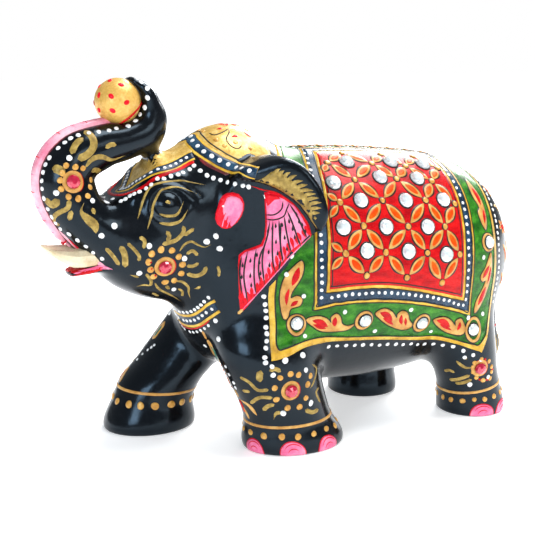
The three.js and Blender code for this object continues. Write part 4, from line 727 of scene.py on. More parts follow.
stroke('hot',[(-5.7,-29.8,64.4),(-6.1,-29.6,65.9),(-6.7,-29.2,67.4)],1.30,h=0.07,lift=0.13,prof='drop')
stroke('hot',[(-6.8,-29.1,63),(-7.1,-28.9,65),(-7.7,-28.6,67)],1.30,h=0.07,lift=0.13,prof='drop')
stroke('hot',[(-7.9,-28.4,61.6),(-8.1,-28.3,63.5),(-8.5,-28.1,65.3)],1.30,h=0.07,lift=0.13,prof='drop')
stroke('hot',[(-8.9,-27.8,60.2),(-9,-27.7,62.3),(-9.4,-27.5,64.3)],1.30,h=0.07,lift=0.13,prof='drop')
stroke('hot',[(-9.9,-27.1,58.9),(-10.1,-27,60.9),(-10.5,-26.8,62.9)],1.30,h=0.07,lift=0.13,prof='drop')
stroke('hot',[(-10.9,-26.5,57.3),(-10.9,-26.5,59.4),(-11.2,-26.3,61.6)],1.30,h=0.07,lift=0.13,prof='drop')
stroke('hot',[(-11.9,-25.9,55.7),(-11.9,-25.9,57.8),(-12.2,-25.7,59.8)],1.30,h=0.07,lift=0.13,prof='drop')
stroke('hot',[(-12.9,-25.3,54.3),(-12.9,-25.3,56.2),(-13.2,-25.1,58.1)],1.30,h=0.07,lift=0.13,prof='drop')
stroke('hot',[(-13.9,-24.6,52.8),(-13.6,-24.8,54.6),(-13.6,-24.8,56.4)],1.30,h=0.07,lift=0.13,prof='drop')
stroke('hot',[(-15.1,-23.9,51.2),(-14.9,-24,53.3),(-15,-23.9,55.3)],1.30,h=0.07,lift=0.13,prof='drop')
stroke('hot',[(-16.2,-23.2,49.8),(-15.9,-23.4,51.7),(-15.9,-23.4,53.6)],1.30,h=0.07,lift=0.13,prof='drop')
stroke('hot',[(-17.3,-22.5,48.2),(-17.2,-22.6,50.2),(-17.3,-22.5,52.2)],1.30,h=0.07,lift=0.13,prof='drop')
stroke('hot',[(-18.3,-21.8,47),(-18.2,-22,48.9),(-18.2,-21.9,50.8)],1.30,h=0.07,lift=0.13,prof='drop')
stroke('hot',[(-19.3,-21.3,45.6),(-19,-21.4,47.3),(-19.1,-21.4,49)],1.30,h=0.07,lift=0.13,prof='drop')
stroke('hot',[(-19.6,-21,46.3),(-19.8,-20.9,48.2),(-20.1,-20.7,50.1)],1.30,h=0.07,lift=0.13,prof='drop')
stroke('pink',[(-2.6,-31.8,66.8),(-5.5,-29.9,63.3),(-9.1,-27.7,58.9),(-12.2,-25.7,55),(-15.8,-23.4,50.2),(-18.9,-21.5,46.1),(-20.3,-20.6,44.3)],0.32,h=0.06,lift=0.12,prof='line')
stroke('tan',[(-19.4,-21.2,45.5),(-20.6,-20.4,43.9)],0.94,h=0.08,lift=0.12)
stroke('red',[(-17.7,-22.3,81.9),(-16.1,-23.2,81.3),(-14.2,-24.5,80.6),(-11.6,-26.1,80.1),(-9.4,-27.5,78.8),(-7.1,-29,76.7),(-5.1,-30.2,73.9),(-3.5,-31.2,71.1),(-2.4,-31.9,67.5)],0.43,h=0.08,lift=0.1,prof='line')
stroke('white',[(-13.9,-24.6,78),(-14.2,-24.5,79.3)],0.29,h=0.05,lift=0.18)
patch('leafgold',[(-16.8,83.4),(-16.8,83.4),(-16.1,83.8),(-14.7,85),(-13.6,86.1),(-12.3,86.6),(-11.2,86),(-10.2,85),(-8.9,84),(-7.4,82.6),(-6.1,80.9),(-4.9,79.1),(-4.1,77.2),(-3.5,74.9),(-3.1,72.5),(-1.7,69.8),(-2.8,71.6),(-4,73.8),(-5.6,76.3),(-7.4,78.3),(-9,79.6),(-10.8,80.9),(-12.4,81.8),(-14.6,82.8)],'side',lift=0.1,step=1.0)
stroke('leafgold',[(-12.7,-28.1,85.6),(-12,-28.5,86.6),(-11.3,-29,87.1)],1.23,h=0.08,lift=0.07,prof='comma')
stroke('leafgold',[(-11.6,-28.8,85.3),(-11,-29.2,86.1),(-10.3,-29.6,86.6)],1.23,h=0.08,lift=0.07,prof='comma')
stroke('leafgold',[(-10.5,-29.5,84.6),(-9.7,-30,85.6),(-8.8,-30.5,86.1)],1.23,h=0.08,lift=0.07,prof='comma')
stroke('leafgold',[(-9.4,-30.2,83.9),(-8.4,-30.8,84.8),(-7.3,-31.5,85.3)],1.23,h=0.08,lift=0.07,prof='comma')
stroke('leafgold',[(-8.5,-30.7,82.9),(-7.1,-31.6,83.5),(-5.8,-32.5,83.7)],1.23,h=0.08,lift=0.07,prof='comma')
stroke('leafgold',[(-7.4,-31.4,81.7),(-6,-32.3,82.3),(-4.6,-33.2,82.6)],1.23,h=0.08,lift=0.07,prof='comma')
stroke('leafgold',[(-6.6,-31.9,80.8),(-5,-33,81.1),(-3.3,-34,80.9)],1.23,h=0.08,lift=0.07,prof='comma')
stroke('leafgold',[(-5.7,-32.5,79.5),(-4.2,-33.4,79.9),(-2.7,-34.4,80)],1.23,h=0.08,lift=0.07,prof='comma')
stroke('leafgold',[(-5.2,-32.8,78.2),(-3.5,-33.9,78.7),(-1.9,-34.9,78.8)],1.23,h=0.08,lift=0.07,prof='comma')
stroke('leafgold',[(-4.6,-33.2,76.8),(-3,-34.2,77.4),(-1.3,-35.3,77.5)],1.23,h=0.08,lift=0.07,prof='comma')
stroke('leafgold',[(-4.2,-33.4,75.5),(-2.8,-34.4,75.9),(-1.3,-35.3,75.9)],1.23,h=0.08,lift=0.07,prof='comma')
stroke('leafgold',[(-3.9,-33.7,74.2),(-2.8,-34.4,74.5),(-1.7,-35.1,74.5)],1.23,h=0.08,lift=0.07,prof='comma')
stroke('leafgold',[(-3.3,-34,72.7),(-3,-34.2,72.9),(-2.4,-34.6,72.9)],1.23,h=0.08,lift=0.07,prof='comma')
# tip of the trunk, its seam with the ball, and the mouth
dots('white',[(-45,-3.8,100.2),(-43.3,-3,101.9),(-42.2,-4.1,103.9),(-41.5,-4.9,106.7),(-41.6,-4.6,109),(-43,-3.5,110.8),(-43.6,-1.5,111.9)],0.76)
stroke('red',[(-65.3,-0.9,56),(-64.2,-2.9,56.2),(-62.2,-4.7,57.1),(-59.3,-5.9,57.9)],2.39,prof='line')
stroke('red',[(-65.1,-1.8,56),(-64.2,-4,56.7),(-61.9,-5,57.4),(-59.3,-5.9,58)],1.57,prof='drop')
stroke('pink',[(-65,-3.7,57.2),(-62.2,-4.8,57.8),(-58.7,-6.1,58.5),(-55.3,-7.8,58.2)],0.82,prof='comma')
stroke('hot',[(-65.2,-1.1,56),(-64.3,-3.2,56.3),(-61.1,-3.5,56.5),(-58.6,-5.8,57.6)],0.55,prof='comma')

# ------------------------------------------------------------------ saddle cloth, in wrap coordinates (x along the back, s up over it)
WRAPPED = []
def wst(mat, Q, w, prof='leaf', h=0.12, lift=0.0, mode='blanket', side='B'): WRAPPED.append(('s', mat, np.asarray(Q, float), w, prof, h, lift, mode, side))
def wdt(mat, Q, r, lift=0.0, mode='blanket', h=None, side='B'): WRAPPED.append(('d', mat, np.asarray(Q, float), r, None, h, lift, mode, side))
def wring(mat, c, r, w, lift=0.0, h=0.15, mode='blanket', ex=1.0):
    a = np.arange(22)*2*np.pi/22; WRAPPED.append(('r', mat, np.stack([c[0]+r*np.cos(a), c[1]+r*ex*np.sin(a)], 1), w, None, h, lift, mode, 'B'))
def release_wrapped():
    for mode in AXZ:
        L = [w for w in WRAPPED if w[7] == mode]
        if not L: continue
        A = cyl_point(mode, np.concatenate([w[2] for w in L]), brow_plain if mode == 'head' else body_plain); k = 0
        for kind, mat, Q, w, prof, h, lift, _, side in L:
            P = A[k:k+len(Q)]; k += len(Q)
            if kind == 's': stroke(mat, P, w, h, lift, prof, side=side)
            elif kind == 'r': ring(mat, P, w, h, lift)
            else:
                for p in P: dot(mat, p, w*rng.uniform(0.92, 1.08), h, lift, side, ex=rng.uniform(0.9, 1.12), ang=rng.uniform(0, 3.1))
FULL = 30*np.pi
def over(Q):
    """an outline that runs up the left flank, closed by its mirror image on the right"""
    Q = np.asarray(Q, float); return np.concatenate([Q, np.stack([Q[::-1,0], FULL-Q[::-1,1]], 1)])
def both(mat, Q, lift, mode='blanket', f=None, step=1.3):
    patch(mat, Q, mode, lift=lift, f=f or body_plain, step=step, side='B')
def smooth_line(Q, n=6): return spline(Q, n*(len(Q)-1))
front = smooth_line([(1.5,47.12),(-2,40),(-6,32),(-9.5,22),(-12,10),(-13.1,0),(-13.0,-9.8),(-13.8,-14),(-14.2,-17.6)])
bottom = smooth_line([(-14.2,-17.6),(-9.7,-16.9),(-2.8,-16.2),(6,-17.2),(16.8,-17.5),(28.5,-18.7),(41,-20.7),(47,-21.4),(52.3,-21.4),(57,-21.3),(63.4,-22.0)])
rear = smooth_line([(63.4,-22.2),(67.4,-18.4),(70.2,-13),(70.8,-6.2),(70.6,2.8),(70.7,11.2),(71.2,19.5),(71.8,28.9),(71.4,38),(70.6,47.12)])
cloth = np.concatenate([front[:-1], bottom[:-1], rear])
# the same outline 1.5 mm in
f2 = front+np.array([1.9,0]); b2 = bottom+np.array([0,1.9]); r2 = rear+np.array([-1.5,0])
green = np.concatenate([f2[f2[:,1] > -15.0], smooth_line([(-11.4,-15.5),(-1.2,-14.8),(11.1,-15.8),(24.3,-16.8),(34,-18.2),(43,-19.4),(52,-20.0),(62.2,-20.6)]), r2[r2[:,1] > -19.4]])
patch('yellow', over(cloth), 'blanket', lift=0.05, f=body_plain, step=1.4, edge=0.8, side='C')
patch('green', over(green), 'blanket', lift=0.10, f=body_plain, step=1.4, edge=0.8, side='C')
red = np.concatenate([smooth_line([(12.6,40.8),(9.8,34),(8.3,27.6),(6.9,21.9),(6.1,15),(5.2,8),(4.9,0.4)]), smooth_line([(12,0.6),(20.3,0.3),(28,-0.7),(36.2,-2.4),(45,-4.6),(54.3,-7.3)]), smooth_line([(54.0,-2),(54.0,5),(54.7,14.3),(55.5,22.3),(55.8,29.5),(55.4,35.1),(54.2,40.8)])])
yin = offset_poly(red, 0.95)
navy = np.concatenate([smooth_line([(9.6,43.6),(6.6,36),(4.7,30),(3.2,23),(2.1,15),(1.3,7.2),(1.3,0),(1.5,-4.8)]), smooth_line([(6.5,-3.9),(14.1,-3.6),(25.1,-4.5),(36.7,-6.4),(46.5,-8.8),(57.6,-12.3)]), smooth_line([(57.4,-6),(57.5,1.9),(58.1,11.4),(58.9,20.9),(59.1,27.5),(58.7,34),(57.4,43.6)])])
yout = offset_poly(navy, 0.95)
for m, Q, l in [('yellow', yout, 0.14), ('navy', navy, 0.18), ('yellow', yin, 0.22), ('red', red, 0.26)]: both(m, Q, l)
def edge_line(Q, d, w=0.42, lift=0.2):
    Q = offset_poly(Q, d); L = Q
    wst('black', np.concatenate([L, L[:1]])+rng.normal(0, 0.05, (len(L)+1, 2)), w, 'flat', 0.05, lift)
for Q, d, l in [(cloth, -1.9, 0.11), (yout, 0.2, 0.13), (navy, 0.1, 0.19), (navy, -2.5, 0.25)]:
    if Q is cloth:
        g = green; wst('black', g, 0.55, 'line', 0.06, l)
    else:
        if d == -2.5: edge_line(yin, 0.1, 0.48, 0.24)
        else: edge_line(Q, d, 0.50, l)
# thin dark line just inside the red
li = offset_poly(red, -0.75); wst('black', li[(li[:,1] < 39.5)], 0.5, 'line', 0.05, 0.28)
N1 = [(13.3,36.0),(29.2,35.4),(41.6,34.4),(54.2,34.0)]; N2 = [(19.5,30.0),(35.1,29.9),(48.3,28.9)]; N3 = [(11.5,24.1),(26.6,23.7),(42.7,23.0),(53.9,21.6)]
N4 = [(17.7,17.2),(33.8,16.0),(47.6,15.0)]; N5 = [(10.4,10.3),(24.3,9.4),(39.6,8.0),(52.2,6.5)]; N6 = [(17.2,3.4),(31.8,1.4),(45.1,-1.4)]; N0 = [(21.4,39.9),(35.8,39.6),(48.2,39.2)]
def petal(A, B, a=0.13, b=0.87, w=3.5):
    A,B = np.array(A),np.array(B); P = [A+(B-A)*t for t in (a, 0.5*(a+b), b)]; n = np.array([-(B-A)[1],(B-A)[0]]); P[1] = P[1]+n*rng.normal(0, 0.008)
    k = w*rng.uniform(0.94, 1.06)
    wst('black', P, k+1.25, 'leaf', 0.05, 0.29); wst('tan', P, k, 'leaf', 0.12, 0.30)
    Q = [A+(B-A)*t for t in (a+0.16*(b-a), 0.5*(a+b), a+0.84*(b-a))]; Q[1] = P[1]; wst('orange', Q, k*0.62, 'leaf', 0.12, 0.37)
for U_, D_ in [(N1,N2),(N3,N4),(N5,N6)]:
    for i, n in enumerate(D_):
        petal(U_[i], n); petal(U_[i+1], n)
for U_, D_ in [(N2,N3),(N4,N5),(N0,N1)]:
    for i, n in enumerate(U_):
        petal(n, D_[i]); petal(n, D_[i+1])
for A, B in [((11.5,24.1),(6.2,19.8)),((10.4,10.3),(5.2,14.2)),((10.4,10.3),(4.7,5.6)),((13.3,36.0),(9.6,32.6)),((11.5,24.1),(7.6,27.2))]: petal(A, B, 0.16, 0.86, 2.5)
for n in N0+N1+N2+N3+N4+N5+N6: wdt('black', [n], 1.34, 0.29, h=0.06); wdt('orangegold', [n], 0.98, 0.32, h=0.42)
# white dots on the dark band
def row(Q, gap, r, mat='white', lift=0.2, mode='blanket', h=None, skip=()):
    P,s = resample(np.asarray(Q, float), 0.25); n = int(round(s[-1]/gap)); t = np.linspace(0, s[-1], n+1)
    X = np.stack([np.interp(t, s, P[:,0]), np.interp(t, s, P[:,1])], 1)+rng.normal(0, 0.09, (n+1, 2)); wdt(mat, X, r, lift, mode, h)
row([(8.4,40.6),(5.9,33),(4.6,26),(3.2,17),(2.6,8),(2.4,1.5),(2.6,-1.9)], 2.3, 0.60)
row([(5.6,-2.0),(14,-1.7),(25,-2.6),(37,-4.6),(46,-6.8),(55.4,-10.2)], 2.35, 0.60)
row([(56.0,-8.2),(55.9,2),(56.6,12),(57.5,21),(57.5,28),(56.9,35),(55.8,40.8)], 2.3, 0.60)
row([(10.6,42.3),(24,42.2),(40,42.2),(55.2,42.3)], 2.5, 0.55)
# border: rings round its stones, leaves, loose dots
BG = [(-4.9,-10.2),(17.7,-10.6),(39.8,-14.1),(60.0,-17.2),(66.0,9.4)]
for c_ in BG: wring('black', c_, 2.75, 1.75, 0.13, 0.05); wring('tan', c_, 2.6, 1.15, 0.15, 0.22)
def leafy(Q, reds, lift=0.15):
    Q = loop(np.asarray(Q, float), 3); both('black', offset_poly(Q, 0.36), lift, step=1.4); both('tan', Q, lift+0.05, step=1.2)
    for r_, w_ in reds: wst('red', r_, w_*1.5, 'leaf', 0.09, lift+0.07)
leafy([(-1.9,-9.0),(1.6,-8.0),(4.8,-8.9),(6.6,-10.6),(6.2,-8.7),(7.9,-7.5),(9.5,-9.0),(10.2,-11.0),(12.3,-12.0),(14.6,-11.6),(12.5,-13.3),(8.4,-13.6),(4.0,-13.2),(1.0,-11.6)], [([(0.2,-9.4),(2.6,-10.0),(5.6,-11.8)], 1.5), ([(0.6,-10.6),(2.8,-11.6),(5.2,-12.4)], 1.1), ([(7.6,-8.6),(7.6,-10.2),(8.0,-11.8)], 1.3)])
leafy([(21.4,-8.6),(24.2,-7.4),(27.5,-8.8),(29.7,-11.2),(29.8,-9.8),(31.5,-9.0),(33.5,-10.0),(34.7,-12.4),(36.4,-14.4),(34.6,-15.6),(31.4,-15.2),(26.6,-13.0),(23.0,-10.4)], [([(23.0,-8.6),(25.4,-9.6),(28.2,-12.0)], 1.6), ([(24.4,-10.6),(26.4,-11.6),(29.0,-13.4)], 1.0), ([(31.2,-10.2),(31.4,-12.0),(32.2,-13.6)], 1.2), ([(33.0,-11.4),(33.4,-13.0),(33.8,-14.2)], 0.8)])
leafy([(44.2,-13.6),(47.8,-13.0),(50.9,-14.2),(53.2,-16.2),(53.0,-14.7),(54.9,-14.1),(56.2,-15.6),(57.0,-17.2),(55.4,-18.6),(50.8,-18.3),(47.0,-16.4)], [([(45.6,-13.9),(48.2,-14.6),(51.2,-16.4)], 1.5), ([(47.2,-15.4),(49.4,-16.4),(52.0,-17.4)], 0.9), ([(54.6,-15.0),(54.6,-16.2),(54.0,-17.4)], 1.1)])
leafy([(-3.6,9.8),(-3.0,7.9),(-3.9,4.6),(-6.4,0.6),(-6.8,-1.7),(-5.1,-1.0),(-3.4,-2.0),(-4.0,-4.3),(-6.7,-5.2),(-7.5,-8.0),(-8.9,-8.3),(-9.8,-3.6),(-9.8,1.2),(-8.5,5.6),(-5.9,8.4)], [([(-4.4,8.0),(-5.4,5.2),(-6.6,2.4)], 1.5), ([(-7.4,1.6),(-8.0,-1.2),(-8.0,-4.0)], 1.0), ([(-4.6,-2.6),(-5.6,-3.4),(-6.8,-4.4)], 1.2)])
leafy([(67.0,6.0),(67.7,2.0),(67.4,-3.0),(65.9,-8.6),(63.0,-12.0),(60.5,-13.3),(60.9,-10.2),(63.2,-7.0),(64.8,-3.6),(63.1,-3.6),(61.9,-1.6),(64.2,1.2)], [([(62.0,-11.4),(63.6,-9.2),(65.4,-5.8)], 1.5), ([(63.0,-2.4),(64.6,-0.6),(66.2,1.6)], 1.3), ([(67.0,1.0),(66.6,-2.0),(66.0,-4.8)], 0.9)])
leafy([(64.6,31.0),(66.4,28.0),(67.4,24.2),(67.5,20.0),(66.6,15.6),(65.4,13.6),(63.9,16.2),(63.5,19.2),(64.9,21.0),(63.7,24.0),(63.6,27.5)], [([(65.0,28.2),(65.9,25.0),(66.1,21.8)], 1.4), ([(66.6,20.6),(66.2,18.0),(65.6,15.6)], 1.1)])
leafy([(-0.2,33.5),(-1.4,30.0),(-3.6,26.4),(-6.0,22.0),(-6.6,17.2),(-5.2,13.6),(-3.4,16.0),(-1.6,15.4),(-2.4,19.4),(-1.2,24.0),(0.2,28.4)], [([(-1.2,30.2),(-2.8,26.0),(-4.0,22.4)], 1.4), ([(-5.2,20.0),(-5.2,17.4),(-4.8,15.4)], 1.0)])
wdt('white', [(-8.1,6.2),(-3.0,-1.2),(-2.2,-13.6),(10.6,-7.2),(34.6,-9.0),(22.6,-14.8),(44.8,-17.9),(57.9,-14.2),(64.5,-14.4),(63.2,4.6),(62.4,33.0),(66.0,34.6),(-6.8,12.0),(-1.0,37.0)], 0.72, 0.12)
row([(7.5,-19.0),(13,-19.3),(25.2,-20.2),(36.9,-21.8),(44.2,-23.2),(49.4,-23.5),(53.2,-22.6),(57.2,-22.4),(60.2,-22.8),(63.4,-23.8)], 3.1, 0.72, lift=0)
row([(71.6,-13.5),(72.6,-7),(72.6,0),(72.6,8),(73.2,18),(73.6,28),(73.3,38),(72.6,46)], 2.2, 0.62, lift=0)
# along the spine
for k in range(8):
    x0 = 8.0+k*6.7
    for sg in (-1, 1):
        petal((x0+3.35,47.12),(x0+3.35+sg*3.3,47.12), 0.22, 1.0, 1.9)
    petal((x0+3.35,47.12),(x0+3.35,44.9), 0.3, 1.0, 1.5)
    wdt('orangegold', [(x0+3.35,47.12)], 0.72, 0.3, h=0.3); wdt('white', [(x0,45.6)], 0.55, 0.12)
wst('black', [(9.0,44.75),(30,44.75),(57.6,44.75)], 0.36, 'line', 0.05, 0.12)
# rump beyond the cloth
for c_, r_ in [((77.8,16.0),3.1),((77.2,32.5),2.7)]:
    for k in range(6):
        a = k*np.pi/3+0.3; d = np.array([np.cos(a),np.sin(a)]); P = [np.array(c_)+d*r_*t for t in (0.32,0.66,1.0)]
        wst('tan', P, 1.7, 'leaf', 0.10, 0.02); wst('orange', [P[0]*0.8+P[1]*0.2,P[1],P[1]*0.3+P[2]*0.7], 0.8, 'leaf', 0.06, 0.1)
    wdt('red', [c_], 0.8, 0.05)
for P, m, w_ in [([(76.0,8.5),(78.4,5.0),(78.6,0.0)],'tan',2.1),([(76.6,7.2),(78.2,4.4),(78.4,1.4)],'red',0.9),([(79.6,10.5),(80.4,7.5),(80.6,4.0)],'orangegold',1.3),([(75.4,24.0),(77.6,25.2),(79.4,23.4)],'orangegold',1.4),([(75.4,-3.5),(77.2,-6.6),(76.4,-10.4)],'tan',1.9),([(76.2,-5.0),(76.9,-7.4),(76.4,-9.2)],'red',0.8)]: wst(m, P, w_, 'leaf', 0.10, 0.1 if m == 'red' else 0.02)

# ------------------------------------------------------------------ cap and forehead cloth
def brow_plain(P):
    """the crown and forehead with the trunk cut off above them"""
    return np.maximum(body_plain(P), P[:,2]-np.interp(P[:,0], [-60,-52,-48,-41,-33,-27,-24], [76.5,80.4,82.6,89.4,92.2,95.6,130]))
hd = lambda P: [(p[0], 30*math.atan2(p[2]-70, -p[1])) for p in P]
capline = [(-26.2,47.12),(-26.9,43.5),(-26.9,39.2),(-26.5,36.2),(-25.5,33.1),(-24.4,30.8),(-22.9,28.2),(-21,26),(-19.6,24.6)]
cap_low = capline
capQ = np.concatenate([smooth_line(cap_low, 3), smooth_line([(-7.0,24),(-5.2,32),(-4.6,40),(-4.4,47.12)], 3)])
patch('capgold', over(capQ), 'head', lift=0.06, f=brow_plain, step=1.4, edge=0.8, side='C')
flap = smooth_line([(-4.6,47.12)], 1) if False else np.array([(-48.0,47.12),(-46.2,42.0),(-44.2,36.6),(-42.4,33.8),(-40.0,32.6),(-36.8,32.8),(-33.0,34.6),(-30.0,36.6),(-27.6,38.6),(-26.8,42.8),(-26.6,47.12)])
patch('capgold', over(flap), 'head', lift=0.06, f=brow_plain, step=1.2, edge=0.7, side='C')
full = lambda L: list(L)[::-1]+[(a, FULL-b) for a, b in list(L)[1:]]
def band(L, widths, lift0=0.1):
    P = full(L)
    for m, w_, h_ in widths: wst(m, P, w_, 'flat', h_, lift0, 'head', 'C')
TAILEND = [(-19.3,-18.6,86.7),(-19.0,-21.6,86.4),(-18.2,-23.9,86.0),(-17.0,-25.4,85.6)]
capP = cyl_point('head', spline(full(capline), 60), brow_plain); capP = np.concatenate([np.array(TAILEND[::-1], float)*np.array([1,-1,1]), capP[::-1], np.array(TAILEND, float)]) if capP[0][1] < 0 else np.concatenate([np.array(TAILEND[::-1], float)*np.array([1,-1,1]), capP, np.array(TAILEND, float)])
for m_, w_, h_, l_ in [('yellow', 5.0, 0.06, 0.10), ('black', 3.7, 0.03, 0.17), ('navy', 3.2, 0.05, 0.18)]: stroke(m_, capP, w_, h_, l_, 'flat', side='C')
for p in [(-25.9,0.2,94.4),(-26.9,-3.3,93.5),(-26.8,-6.7,92.2),(-26.1,-9.4,90.8),(-24.6,-11.6,89.6),(-22.9,-13.3,88.5),(-20.8,-14.7,87.3),(-19.4,-17.2,86.6),(-19.2,-20.6,86.4),(-18.2,-23.6,86.0)]: dot('white', p, 0.76*rng.uniform(0.93, 1.06), None, 0.24)
q_ = np.array(smooth_line(capline, 3), float); g_ = np.gradient(q_, axis=0); g_ /= np.linalg.norm(g_, axis=1)[:,None]; inner = [(v[0], min(v[1], 47.12)) for v in q_+3.0*np.stack([-g_[:,1], g_[:,0]], 1)]
wst('black', full(inner), 0.5, 'flat', 0.06, 0.1, 'head', 'C')
fore = hd([(-48.4,0,79.9),(-46.4,-2.4,81.3),(-45.1,-4.0,82.6),(-43.6,-6.4,84.2),(-42.2,-7.5,85.0),(-40.4,-8.3,85.9),(-38.6,-8.7,86.4),(-36.4,-8.6,87.0),(-34.5,-8.4,87.7),(-32.4,-8.1,88.6),(-30.0,-8.0,89.6),(-29.0,-8.2,89.8)])
fore[0] = (-48.6, 47.12)
band(fore, [('yellow', 4.0, 0.05)], 0.08); band(fore, [('black', 2.9, 0.03)], 0.13); band(fore, [('navy', 2.5, 0.05)], 0.14)
X,s_ = resample(np.array(fore), 0.3); t_ = np.arange(0.0, s_[-1]-0.5, 1.95)
wdt('white', np.stack([np.interp(t_, s_, X[:,0]), np.interp(t_, s_, X[:,1])], 1), 0.56, 0.19, 'head')
redl = hd([(-52.4,0.2,78.5),(-50.6,-4.6,78.9),(-48.0,-7.6,80.2),(-45.2,-9.6,82.0),(-42.6,-10.2,83.8),(-39.6,-10.4,84.7),(-36.4,-10.2,85.5),(-33.6,-10.0,86.5),(-31.0,-9.8,87.8),(-29.6,-10.2,88.3)])
redl[0] = (-51.6, 47.12)
wst('red', full(redl), 1.3, 'flat', 0.10, 0.02, 'head', 'C')
darkred = [(a-1.5 if b > 30 else a-1.0, b-2.9) for a, b in capline[3:]]
wst('maroon', darkred, 1.6, 'line', 0.05, 0.0, 'head')
# scrolls and petals on the crown
for P in [[(-22.2,-4.5,95.8),(-21.3,-6.6,95.3),(-18.6,-6.8,96.1),(-16.2,-5.6,96.9)],[(-16.2,-5.6,96.9),(-16.9,-7.5,96),(-18.9,-9.7,94.2),(-18.4,-11.9,92.3),(-16.4,-12.8,91.7),(-14.4,-11.7,93)]]: stroke('black', P, 0.5, 0.08, 0.05, 'line')
for P in [[(-19.6,-4.4,96.6),(-17.6,-4.6,96.8)],[(-17.2,-9.4,94.6),(-14.8,-9.0,94.9)],[(-17.6,-1.6,97.4),(-14.6,-2.6,97.4)],[(-12.4,-6.6,95.8),(-10.6,-9.0,94)]]: stroke('hot', P, 1.7, 0.1, 0.05, 'drop')
for p in [(-21.8,-8.6,94.2),(-20.2,-11.2,92.6),(-16.6,-11.0,93.2),(-22.8,-1.6,96.0),(-12.6,-12.6,91.4),(-10.2,-5.0,95.6)]: dot('orangegold', p, 0.8, 0.2, 0.05)
for k in range(8):
    a = k*np.pi/4+0.2; c0 = np.array([-13.5,0,97.0]); d = np.array([np.cos(a),np.sin(a),0]); stroke('hot' if k%2 else 'orange', [c0+d*1.2, c0+d*2.3, c0+d*3.6], 1.3, 0.1, 0.05, 'leaf', side='C')
dot('white', (-13.5,0,97), 0.9, 0.25, 0.05, side='C')
for p in [(-52.9,-4.6,78.0),(-51.6,-7.8,77.9),(-50.4,-8.3,78.4),(-49,-8.7,79.1),(-48,-9.2,79.6),(-46.6,-9.7,80.4),(-45,-10.6,81.5),(-43.5,-10.9,82.5),(-41.4,-10.6,84),(-39.6,-11.2,84),(-37.4,-11.1,84.5),(-35.3,-11.4,84.7),(-33.7,-11.3,85.3),(-31.5,-11.2,86.2),(-30,-10.9,87.1),(-28.8,-12.6,85.8),(-27.3,-14,84.5),(-25.7,-14.9,83.7),(-23.8,-15.7,83.1),(-22.5,-17.6,82.6),(-21.2,-19.9,82.3),(-19.3,-21.2,81.8),(-17.9,-22.1,81.5)]: dot('white', p, 0.72*rng.uniform(0.93, 1.06))
dot('white', (-54.2,0,77.9), 0.7, side='C')

# ------------------------------------------------------------------ rosettes round the rubies
def rosette(c, leg=None, w=1.35, r=2.5):
    c = to_surface([c], 3)[0]; n = normals(c[None])[0]; u = np.cross([0,0,1], n); u /= np.linalg.norm(u); v = np.cross(n, u); a = np.arange(24)*2*np.pi/24
    P = c+np.outer(np.cos(a), u)*r+np.outer(np.sin(a), v)*r
    ring('tan', P, w, 0.22, 0.02)
    arc = c+np.outer(np.cos(a[18:24] if True else a), u)*(r+0.75)+np.outer(np.sin(a[18:24]), v)*(r+0.75)
    b = np.linspace(-1.1, 1.0, 9); arc = c+np.outer(np.cos(b), u)*(r+0.7)+np.outer(np.sin(b), v)*(r+0.7)
    stroke('red', arc, 0.45, 0.08, 0.0, 'leaf')
rosette((-65.8,-8.7,84.3)); rosette((-41.1,-14.3,58.8))
for q in [(-8.3,-30.4,21.0),(63.6,-28.9,17.4)]: rosette(q, r=2.45)
for q in [(-25.6,30.4,21.0),(50.2,28.9,17.4)]:
    c = to_surface([q], 3)[0]; n = normals(c[None])[0]; u = np.cross([0,0,1], n); u /= np.linalg.norm(u); v = np.cross(n, u); a = np.arange(24)*2*np.pi/24
    P = c+np.outer(np.cos(a), u)*2.45+np.outer(np.sin(a), v)*2.45
    STROKES.append(dict(mat='tan', P=P, r=np.full(24, 0.675), h=0.22, lift=0.02, side='L', closed=True, leg=None))

# ------------------------------------------------------------------ legs: band, drops and toenails
def around(key, ang, z):
    t = LEGS[key]; z = np.asarray(z, float)*np.ones(len(ang)); cx,cy,rx,ry = (cubic(t, k, z) for k in (1,2,3,4))
    sg = 1 if key[0] == 'N' else -1
    return np.stack([cx+rx*np.cos(ang), cy+sg*ry*np.sin(ang), z], 1)
def anklet(key, z0, tilt, zd, tiltd, gap, rd):
    a = np.linspace(0, 2*np.pi, 49)[:-1]; r = 13.5; half = key == 'FH'
    if half: a = np.linspace(0.12, np.pi-0.12, 30)+np.pi
    P = around(key, a, z0+tilt*np.cos(a)); STROKES.append(dict(mat='tan', P=P, r=np.full(len(a), 0.5), h=0.16, lift=0.0, side='L', closed=not half, leg=None))
    n = int(round(2*np.pi*r/gap)); b = np.arange(n)*2*np.pi/n+rng.normal(0, 0.02, n)
    if half: b = b[(b > np.pi+0.15)&(b < 2*np.pi-0.15)]
    Q = around(key, b, zd+tiltd*np.cos(b)+rng.normal(0, 0.15, len(b)))
    for p in Q: dot('orangegold', p, rd*rng.uniform(0.9, 1.08), 0.3, side='L', ex=rng.uniform(0.9, 1.15))
anklet('NF', 9.2, 0.3, 6.1, 0.1, 5.0, 0.98); anklet('FF', 12.9, -1.0, 9.4, -0.7, 4.9, 1.2); anklet('NH', 9.4, 1.7, 6.4, 1.2, 4.6, 0.9); anklet('FH', 9.4, 1.7, 6.4, 1.2, 4.8, 0.9)
def leg_field(mat, key, Q, lift):
    """a field on a foot: Q in (angle from +X towards the outside, height)"""
    PATCHES.append(dict(mat=mat, foot=key, Q=np.asarray(Q, float), lift=lift))
